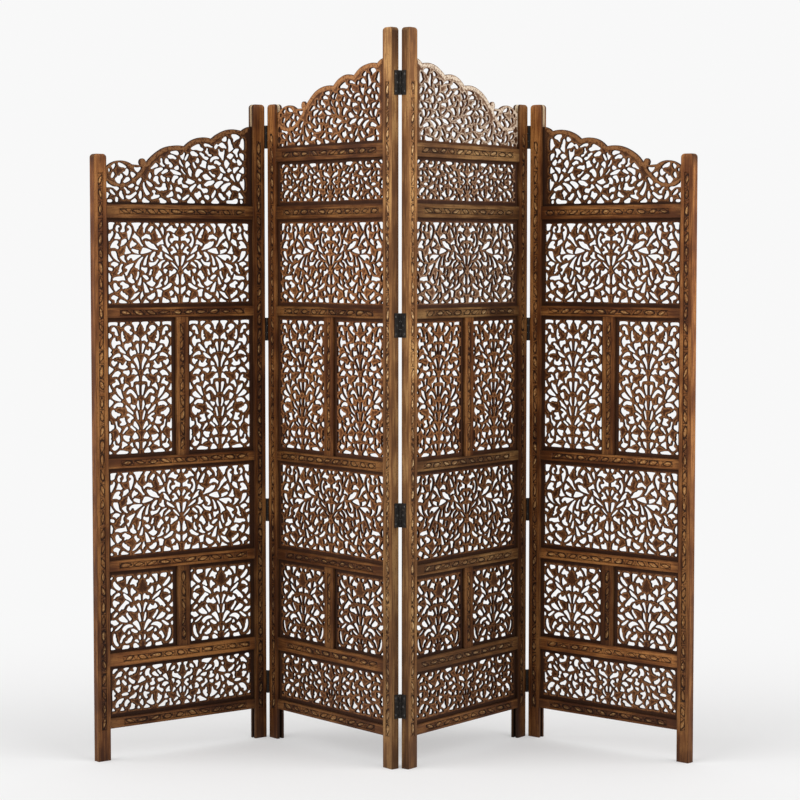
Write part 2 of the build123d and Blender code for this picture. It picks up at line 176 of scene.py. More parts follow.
    [(152,156.5),(155,156.5),(155.5,152),(157,149),(156.5,145),(158,142),(159,139),(156.5,136.5),(150,137.5),
     (141,139.5),(144,143.5),(148,149)],
    [(184,143),(190,143.5),(195.5,144),(197,140),(195,134),(191,128),(185,122.5),(178,118.5),(173,116),
     (173,118),(178,123.5),(180,130),(181.5,137)],
    [(203,135.5),(204.5,134),(204.5,118.5),(201,118),(196,119.5),(193,121.5),(196,125.5),(200,130.5)],
    [(159,132.5),(163,133),(168,131),(172.5,128),(169.5,124),(165,119.5),(160,116.5),(154.5,115.5),
     (155,117.5),(158.5,122),(159.5,127)],
    [(163,110),(168,111),(172,107.5),(174,101),(175,97),(177,95),(175.5,91),(179.5,88),(178.5,85.5),
     (175,85.5),(171,89),(166,92.5),(166,95),(168,99.5),(167,104)],
    [(176.5,112),(182,115),(188,116.5),(193,116),(198,111.5),(197,108.5),(191,107),(188.5,103),(186,103),
     (183,106.5),(179,107.5)],
    [(192.5,98.5),(196,101.5),(201,102.5),(204.5,103),(204.5,97),(200,95),(195,93.5)],
    [(202.5,88),(204.5,86.5),(204.5,70),(202.5,66.5),(199.5,68),(198.5,74),(197.5,79),(199.5,83)],
    [(161.5,84),(164.5,83.5),(166.5,80),(175,79),(184,78),(189.5,76.5),(192.5,72.5),(191,70),(184,70.5),
     (178,68),(171,69),(164,70.5),(157,70),(158.5,75),(160,80)],
    [(147,56.5),(151,59.5),(157,62),(162,65.5),(167,65),(172.5,60.5),(171,58),(166.5,56.5),(165,53.5),
     (166,49),(163,47.5),(158,49.5),(154,49),(150,51),(147,53)],
    [(183,62),(188,63),(191,59),(190.5,53),(188.5,46),(184.5,41.5),(182,42),(178,45.5),(172,49),(174,51.5),
     (178.5,54.5),(180.5,58.5)],
    [(203.5,58),(204.5,56),(204.5,37),(202,35.5),(197,38),(191.5,40.5),(195,45.5),(199.5,51.5)],
]

# Openings of the tall fretwork, right half.
TALL = [
    # foot
    [(18,22.5),(22,22.8),(25,21),(27,17),(29.3,13),(28.5,10.5),(26,9.8),(12,9.8),(9,11),(9,13.5),(12,17.5)],
    [(37.5,15),(41,15.5),(47,17),(52,18),(57,18.3),(62,18.5),(66,16),(71,12),(70,10.3),(66,9.8),(42,9.8),
     (38,11),(36.3,13)],
    [(90.5,18.5),(91.7,17),(91.5,12),(89,10.5),(85,10.8),(82.5,12.2),(84,14.5),(88,17)],
    [(6,37),(10,38),(14.5,38.5),(16.3,36),(15,32),(12,27.5),(9,22.5),(6,21),(5,23),(5,30),(5,35)],
    [(25,37.8),(29,36.5),(32.3,33),(30,30),(26,26.8),(22,25.8),(21,27.5),(23,31),(23.3,35)],
    [(47,39),(51,41),(54.5,40.5),(55,34),(55.8,28),(56.3,25),(53.5,23.5),(50,26),(45,29),(39.5,30.7),
     (38,32.5),(40,35),(43,37)],
    [(75.5,43.5),(79,43),(81,39.5),(79.8,36),(78,33),(80,30),(83.5,27),(84.5,25),(82,21.5),(77,19.5),
     (72,19.5),(68,22),(64,26),(62.5,29),(65,30.8),(70,31.5),(73.5,33.5),(75,38)],
    # around the first pair of branches
    [(15,62),(18.5,62.3),(21,58),(24,53.5),(24.8,50.5),(22,47),(19,44.5),(15.5,46),(10,46.8),(7,48),(8,52),
     (11,57.5)],
    [(31,54.5),(34,54.5),(40,55),(45,56.5),(49,57),(51.5,54.5),(51.5,51),(49,47.5),(44,42.5),(38,40.3),
     (34,40.5),(32.5,43),(33.5,46.5),(31,50)],
    [(62.5,57.5),(65,57.5),(67,53.5),(70.5,51.5),(72.3,47.5),(70,43.5),(68,39),(65,37),(62,39),(60.5,44),
     (60.5,52)],
    [(86,62.5),(89.5,63),(91.5,61.5),(91.7,36.5),(89.5,35),(87,37.5),(85.2,41.5),(84.5,46),(86.5,49.5),
     (84.8,54),(86,58)],
    [(39,78.3),(43,77.5),(47,73),(51,67),(53.8,62),(51.5,60.8),(48.5,62),(44,67),(38.5,71),(37,74),
     (37.5,77)],
    [(26,80.3),(30,80),(32,77.5),(29,74.5),(24,71),(20,68),(16,66.5),(13.8,68),(16,71.5),(21,76)],
    [(17,90.7),(20,89.5),(21.5,85),(22,82),(20,79),(15,75.5),(10,71),(7,69.8),(5.2,71.5),(6.5,76.5),(10,83),
     (14,88.5)],
    [(69,92),(72,93),(74.5,91.5),(73,86),(71.5,80),(71,75.5),(66,70),(63.5,65),(60.5,64.3),(58.5,68),
     (56.5,72.5),(59,76),(65,79),(68,84),(68.3,89)],
    [(90.5,94.5),(91.5,93),(91.7,72),(89.5,68.8),(86,70),(82,73),(78,75),(77,79),(77.5,83),(80,84.5),(85,84),
     (87,87),(88,92)],
    [(46.5,101),(48.5,102.5),(51,101),(53,99.8),(58.5,100),(61.5,98.5),(61,95.5),(57,92.5),(55.5,90),(58,88),
     (61,86),(60,83),(56,82),(48,82.3),(43,84),(41.5,86.5),(43,90),(45,95),(45.5,99)],
    [(35,111),(38.5,111.5),(41,109.5),(40.5,107),(37,105.3),(33,103.5),(31.7,101.5),(34,99.5),(38,96.3),
     (38.3,93),(36,89.5),(32.7,87.2),(29.7,88.5),(28.4,92.6),(25.6,95.4),(21,97.5),(21,100.5),(28.4,107.2)],
    [(8.5,114),(10,117.5),(13,117.5),(14.3,113.5),(12.8,106.5),(10.7,99),(9,94.5),(5.5,94.5),(4.8,97),
     (6,104),(7.5,110)],
    [(75.5,121),(79,122.5),(83,121),(85,117),(84.5,111),(81,105.5),(76,101),(72,100.5),(69.5,103),(67.5,106),
     (62,105.8),(59,107.5),(58,110),(60,112.5),(64,112.8),(67,114),(70,116.5),(74,117)],
    # leaves below the middle flower
    [(21,110),(22,114),(27,119),(31.5,124),(36,128),(40.5,132),(43.5,132.3),(44.3,129.5),(41,124.5),(39,119),
     (36,117),(30,113.3),(24.5,109.2),(22,108.5)],
    [(6,142.5),(9.5,143),(10.5,138.5),(12,133.5),(10.8,129),(9,124),(7,120),(3.8,119.5),(3,122),(4,128),
     (4.6,135),(4.8,140)],
    [(17,131.8),(22,132.3),(27,134),(30,133.5),(29,130),(26,125.5),(22,121.5),(19.5,120.5),(16.5,123.5),
     (14.3,127),(15,130)],
    [(53,138),(58,139.5),(64,139.7),(70,138.5),(75,135.5),(79,130.5),(78.5,128),(75,126.5),(71.5,127.3),
     (69.5,129.7),(67,130.8),(62,129.5),(58,130),(55,128.5),(52.5,128.5),(50.5,132),(50.5,135.5)],
    [(31,153.5),(34.5,153.8),(39,151.5),(42.8,149.5),(41.5,145.5),(38.5,140.5),(35,137.5),(31,137.5),
     (28.5,139.5),(29,146),(29.8,151.5)],
    [(90,148.7),(91.5,147),(91.7,131.5),(89.5,130),(86,132.5),(81.5,136.5),(78.7,140),(79,142.5),(83,145.5),
     (87,148)],
    [(72.5,160.8),(76,161),(80,158.5),(83.5,155.5),(82.5,152),(79,148.5),(73,145.8),(67,144.3),(60,142.9),
     (56.5,143.5),(56.5,146),(61,150),(67,155.5)],
    [(12,149.5),(10.3,151.5),(11.5,156),(15.5,161.5),(20,167),(25,170.5),(30,172),(35,170.5),(39,166.5),
     (41.5,162.5),(40,160.3),(36,160.2),(32.5,162),(29,163.5),(26,161.5),(22,157.5),(18.5,153),(15,149.7)],
    [(66,176.5),(69.5,177.3),(71.3,174.5),(70.5,169.5),(67,163),(62,157),(56.5,151.5),(52,148.7),(50,150),
     (51.5,155.5),(54,162),(56,168.5),(58,172.5),(62,173.3)],
    [(90,184.5),(91.5,182),(91.7,168.5),(90,166.8),(86,167),(82.5,168),(82,170.5),(84,174),(87,178.5),
     (88.5,183)],
    [(5,182.5),(9,183.3),(12.5,183),(14,180.5),(13,175),(11,168),(9,161.5),(7,157.3),(4.5,156.5),(3.5,159),
     (3.7,167),(3.6,176),(3.8,180.5)],
    [(33,181),(36,183),(40,185.5),(44,187.2),(46.5,185.5),(49,180),(51,174),(51,169),(48.5,168),(45.5,171),
     (42,175),(37,177.7),(33.5,178.7)],
    [(68,199),(71.5,199.8),(73.5,197.5),(71.8,194.5),(73,191.5),(77,189.8),(81.5,188.3),(82.5,185.5),
     (80,181),(77.5,178.5),(74.5,180),(71,183.5),(66,184.8),(61.5,184.8),(60.5,186.5),(62,191),(64,195)],
    [(50,205.3),(53,204.8),(56.5,202.5),(58.7,200.5),(57.5,197),(56.3,191),(54,187.7),(50.5,187.8),(49,190),
     (49.8,195),(48,200),(48.3,203.5)],
    [(5.5,205),(9,206.3),(13,204.5),(15.5,201.5),(20,197.5),(22,194),(26,192.3),(29.7,191),(28.5,187.5),
     (27.3,182),(26.3,178.5),(22,178.2),(20.5,182),(20,187),(18,190.5),(13,192.5),(7,192.7),(4,193.5),
     (4.5,198),(5,203)],
    # above the middle
    [(18,223.3),(22,223),(24,220.5),(23,217.5),(25,214.5),(26.5,211.5),(24.5,210),(20,211.5),(16,209.7),
     (12,209.5),(9,210.5),(8.5,213),(11,216.5),(15,221)],
    [(33,220.8),(36,221),(42,219.8),(48,219.7),(51.5,217.5),(50,214.5),(46,212.5),(42,210.5),(39,207.8),
     (36,207.5),(33,210),(31,213.5),(31.5,217.5)],
    [(60,217.3),(64,219.3),(69,219),(74,216.5),(78.5,212.5),(82,207.5),(82,205),(79,205),(75,206.5),
     (70,206.3),(65,204.9),(62.5,206.5),(60.5,210),(57.5,212),(57.5,215)],
    [(90,232.5),(91.5,230),(91.7,214),(89.5,212.2),(86.5,214.5),(82,218.5),(78,222.5),(78.5,225),(82,227),
     (86,230)],
    [(15,228),(16.5,231.5),(21,236),(24.5,238),(26.8,237),(27.6,233),(27.3,229),(26,227),(20,226.9),
     (16,226.8)],
    [(4.5,221.5),(3.5,225),(3.8,231),(4.3,238),(7,246),(10,252.5),(12.5,253.3),(15.5,251),(19.3,247.5),
     (18,244.5),(14.3,239),(11,233.5),(8.5,227.5),(6.5,222.3)],
    [(39.5,243),(42,243.8),(45,241.5),(48,237.5),(51,234),(53.5,233.5),(56,235.5),(58,239.5),(60.5,240.3),
     (62.5,236.5),(64,230.5),(63,227),(58,225.3),(52,224.3),(47,223.8),(42,225.5),(37,228.5),(36,230.5),
     (39,233),(41.5,236),(39.5,240)],
    [(77,246.3),(80.5,246.5),(84,243.5),(84,240),(82,236),(78.5,232),(75,231.5),(72,234.5),(69.5,237.5),
     (66.5,239.5),(67,242.5),(70,243.7),(74,242.8)],
    [(46,260),(49.5,259.5),(50,256.8),(47,252.5),(43,248.5),(37,246),(30,244.5),(26.5,245.2),(27,247),
     (32,251.5),(38,256)],
    [(60,263.3),(65,263.8),(71,262),(77,258),(81,253.5),(81.5,251),(78,250.5),(74,253.5),(69,254.5),
     (64,255.5),(58,254.8),(56.5,257),(57.5,261)],
    # top flower
    [(90,280.5),(91.6,278.5),(91.7,256.5),(90,255.2),(86.5,257),(82.5,261),(83,264),(86,267.2),(83.5,269.5),
     (82.3,272.5),(85.5,276.5)],
    [(60,282.5),(63.5,282.2),(66,279.5),(64,276.5),(60.5,274.5),(59.8,270.5),(57,267.5),(51,265),(44,262.3),
     (41.5,263.3),(43.5,267),(49,273),(55,279)],
    [(27,274.3),(29.5,273),(31.5,266.5),(30.5,261),(28,257),(24.5,255.8),(21,258.5),(17,260.5),(12.5,260.8),
     (11.5,262.5),(13,267.5),(15,271.3),(18,271.5),(21,269),(23.5,269.5)],
    [(26,289),(30,290.3),(33,288.5),(38,287.7),(43,288),(46.3,285.5),(46.5,282),(44.5,276.5),(42.5,272),
     (39,270.8),(36.5,273),(34,277.5),(30,279.7),(24.5,281),(24,283.5)],
    [(6,287.5),(9.5,287.3),(13.5,283.5),(14,280.5),(11.5,275.5),(9,269),(6.5,263),(4.5,262),(3.5,264.5),
     (3.7,272),(4.2,280),(5,285.5)],
    [(72,303),(75,304),(79,301.5),(82.5,296),(83.8,290),(82,284),(79.5,279),(76,277),(73,278.5),(71,283),
     (68,286),(62,287.3),(57.5,287),(57,289.5),(59,294),(61.5,296.8),(64,295.5),(68,294.3),(71,295.5),
     (71.8,299)],
    [(10,307.5),(14,310.2),(17.5,309.5),(19,305),(19.3,300.5),(22,296.5),(22.3,293.5),(20,291.7),(17,292),
     (14.5,295),(10,296),(5,294.5),(3,296),(3,300.5),(5.5,304)],
    [(49.5,318.5),(53,318.8),(55,314),(55.5,306),(54.5,298),(52,293),(49.5,291.8),(45,294.5),(42.5,297.5),
     (44.5,299.5),(48,301.5),(47.5,304),(45.5,306.5),(48.5,309),(49,314)],
    [(90,316),(91.6,314),(91.7,303.5),(89.5,302),(85.5,304.5),(82.2,307.5),(82.5,311),(86,313.5)],
    [(74,329.7),(78,330),(81.5,327.5),(83.3,323),(82.5,320),(79,319.8),(75,319.5),(73.5,316.5),(74,312.5),
     (71.5,309.8),(66.5,308.3),(63.5,308.8),(64,312.5),(66,319),(69,325)],
    [(67,341.5),(89.5,341.7),(91.7,339),(91.6,333),(90,331.2),(86,333.7),(81,335.2),(75,335.2),(70,333.8),
     (66.5,333.5),(65,337)],
    [(44,341),(56,341.5),(58.8,339),(58,334.5),(57,331),(54.5,330),(51.5,332.5),(47,336.5),(43.5,339)],
    [(29,331.5),(33,333),(38,333),(43,331),(46,327.5),(45,323),(41.5,320),(39,317.5),(36,315),(32,313.5),
     (29.5,309.8),(26,308.8),(22.5,311.5),(21,314.5),(23.5,316.8),(28,318.3),(30,321),(28.5,324),
     (25.5,326.5),(26.5,329)],
    [(4,341.5),(22,341.7),(24.5,339.5),(22.5,336),(19,332),(17.5,327),(16.5,321.5),(14.5,319.3),(11,319.5),
     (10,322.5),(11,325.5),(8.5,328),(7,332),(4,335.5),(2.5,338.5)],
]

# Openings of the short fretwork, right half.
SHORT = [
    # foot
    [(21,18.3),(25,17.5),(26.5,14.5),(26.3,9),(25,6.8),(20,6.3),(12,6.3),(9.5,7.5),(9.3,9.5),(13,13),
     (17,16.5)],
    [(39,14.5),(44,14.6),(49,15.3),(53.5,16),(56.5,14.5),(58,10.5),(60,7.5),(58.5,6.3),(52,6),(42,6.2),
     (38.5,7.5),(37.3,11)],
    [(90,20),(91.6,17.5),(91.7,9.5),(90,7.5),(84,7.2),(79.5,7.5),(79,9),(82,11.5),(86,14.5),(88.5,18.5)],
    [(15,27),(18.5,27.5),(22,26.5),(23.3,24.5),(21,22.5),(17,20.8),(12,18.3),(9.5,18.5),(10,21),(12.5,24.5)],
    [(6,38),(8.5,38.3),(10,35.5),(10.5,31.5),(9,27.5),(6.5,25),(4.5,25.5),(3.8,28.5),(4.8,33)],
    [(31,38),(33.5,37.8),(35.5,35),(39,33.3),(42.5,31),(44.5,27.5),(48,26.2),(50.7,25),(49.5,22.5),
     (46.5,20.2),(42,19.7),(37,20.5),(33,22.3),(31,26),(28.3,30),(28.5,33.5)],
    [(52,42.5),(55.5,43.3),(58.5,41),(61.5,37.5),(63,33.5),(65.5,29),(65.5,25),(63,22.3),(60,22.8),(58.5,26),
     (57,30.5),(54,34),(50.5,36),(48.8,38),(50,40.5)],
    [(79.5,48),(82.5,48),(84.5,44.5),(85.5,38),(84.8,31),(82.5,24.5),(78,18.5),(73,15),(70,15),(68.5,17),
     (70,20.5),(73,25),(75,29.5),(75.5,35),(77.5,39.5),(77.5,43.5)],
    # lower pair of branches
    [(38,51.8),(40.5,51.5),(42.5,48.5),(43.7,45),(42,43),(38,42.6),(35.3,43.2),(34.5,45.5),(36,49)],
    [(25,55.5),(30,56.3),(33,54.5),(32.3,51.5),(29,49),(25,46.5),(20,44.8),(16,44),(13,45.5),(13,48.5),
     (16.5,51),(21,53.5)],
    [(16.5,76),(19.5,76.3),(25,74),(28.5,71.5),(26.5,68.5),(21,64),(16,58.5),(11.5,52.5),(8.5,49.7),
     (5.5,49.5),(5,53),(7,60),(9.5,67),(13,72.5)],
    [(26,62.5),(29,65),(34,67.2),(40,68.2),(46,67.3),(52,64.8),(57,60.8),(58.7,57.5),(57,53.5),(53.5,49.8),
     (51,49),(48.5,51.5),(44.5,56),(39,59),(33,60),(27.5,60.3)],
    [(58,70),(61,69.8),(66,67.5),(72,63.5),(78,59),(80.3,56.5),(79,55),(75.5,54.8),(70,57),(65,60.5),
     (60,65.5),(56.5,69)],
    [(87,64.3),(90,64.5),(91.7,62.5),(91.7,56.5),(90.2,54),(88,54.8),(86,57.5),(84.8,61)],
    [(77,82),(81,82.3),(85,81.8),(89,82.8),(91.7,81.5),(91.8,77),(90,74.8),(87,73.5),(83,70),(79,68.5),
     (73,69.3),(69,71.5),(68,73.5),(70.5,75.5),(73.5,79)],
    [(57.5,92),(60.5,92),(63,89),(67,88.3),(69,85.5),(68,82.5),(64,78.5),(58,75.8),(51,74.2),(44,73.2),
     (41.5,74.5),(42.5,78),(47,82.5),(52,87.5)],
    [(8.5,94.5),(11,95),(12.8,92),(12.3,86),(12.5,81.5),(10.5,77),(8.5,72.8),(5,72),(3,73.5),(4,79),(5,84.5),
     (6.5,90)],
    [(42.5,99),(46,98.5),(47.8,95.5),(46,90.5),(43,85.5),(39.5,80.5),(36.5,77),(34,76.6),(31,79.5),
     (30.7,82.5),(33,84.5),(36,89),(39.5,92.5),(41,96)],
    [(70.5,99.5),(73.5,101),(77,101),(80.5,98),(83,94.5),(84,91.5),(82,90),(78.5,89.8),(75,93),(71,96.5)],
    # middle
    [(9,121),(11,120.5),(15.5,117.5),(15,114.5),(12,110),(9.5,104),(7,98.5),(5,95.8),(3,96),(2.8,99),
     (3.5,106),(5,113),(7,119)],
    [(22,114.5),(25.5,115),(28,111.5),(31,109.8),(34,110.5),(36,114.5),(38.5,115.8),(42,113),(45,108),
     (45.5,105.5),(42,102.8),(38,101.8),(32,102),(28,100.5),(24,98.8),(20,98.3),(16,100),(14.5,102.5),
     (15.5,105),(19,109.5)],
    [(46,129),(50,129.8),(53.5,126),(59,121),(64.5,115.5),(68.5,110.5),(69.8,107.5),(67.5,104.5),(64.5,104),
     (61.5,106.5),(60,109.5),(57,108.5),(54,107.7),(51.5,111),(49,115),(44.5,119),(39.5,120.5),(37,122.3),
     (38.5,125),(42,127)],
    [(90,115),(91.5,113.5),(91.7,104),(90,101.7),(87.5,102.5),(84,105),(81,107.3),(82,109.5),(86,112.5)],
    [(52,147.5),(54.5,147.5),(55.5,144.5),(53,140.5),(51,136.5),(48,133.5),(42,131),(36,127.5),(31,125),
     (29.5,126),(31,130),(35,135),(41,140),(47,144.5)],
    [(80,132.5),(83,133),(85.5,130),(85.8,126),(84,120.5),(80.5,116),(77,115),(74.5,117.5),(73,120.5),
     (69,122),(66,123.5),(67,126.5),(72,128.5),(76.5,130.5)],
    [(5,142.5),(8,144),(10.5,142),(12,138.5),(16,137.5),(20,137),(22,134),(21.8,129.5),(19.5,126.8),
     (16.5,128),(13,130.3),(9,129.5),(5,127),(3,127.5),(3,133),(3.2,139)],
    [(67,150.5),(71,150.5),(76,148.5),(80.5,144.5),(84,139.5),(83.5,137),(80,136.5),(77.5,139),(74.5,141.3),
     (70,142.5),(66,142.8),(63.8,144.5),(64,147.5)],
    # flower
    [(28,160.5),(31,160.5),(33,157),(33.5,151),(33,145),(31,140.5),(28.5,139.8),(26,143),(22,145.5),(18,147),
     (16.5,148.8),(18.5,152),(22.5,154.5),(25.5,158)],
    [(47,163),(50.5,163),(54,159),(57.3,155.5),(56,152.8),(51,150.3),(46,147.3),(42,146.3),(40.8,148.5),
     (42.5,154),(44.5,159.5)],
    [(88.5,164),(90.8,163),(91.7,160),(91.6,149.5),(90,146.8),(87.5,146.5),(84.5,149.5),(79,152.5),
     (76.5,154.5),(78,156.8),(83,160)],
    [(78.5,180.5),(81.5,180.5),(83.8,177),(83.5,172),(80,166.5),(75,161.5),(69,158),(64.5,157),(61.3,159.5),
     (61.3,162.5),(65,165.5),(69,170.5),(74,175),(76,178)],
    [(23,184),(26,184.3),(29.5,181.5),(33,176.5),(35.8,172),(35,169.5),(31,169),(26,170),(22.5,168.5),
     (20.5,164.5),(18,163.2),(15.5,164),(15,168),(15.5,171),(12,174),(11.3,177),(13.5,178.8),(18,179.3),
     (21,181)],
    [(31,191.3),(38,191.5),(44.5,191.3),(47,188.5),(46.5,182),(46.5,174),(45,171),(42.5,172),(40,177.5),
     (36,183.5),(30.5,188),(29.3,190)],
    [(6,191.3),(11.5,191.5),(14.3,189.5),(12.8,185.5),(9.5,182),(7,182),(4.8,185),(4,189)],
    [(56.5,191),(63,191.5),(71,191.5),(74,189),(72.8,183.5),(71,180.3),(67,180.3),(61,182.5),(55.8,183.5),
     (54.7,187)],
    [(86.5,192.5),(90,192),(91.8,189),(91,186.5),(88.5,186),(85.5,188),(84.5,190.5)],
]

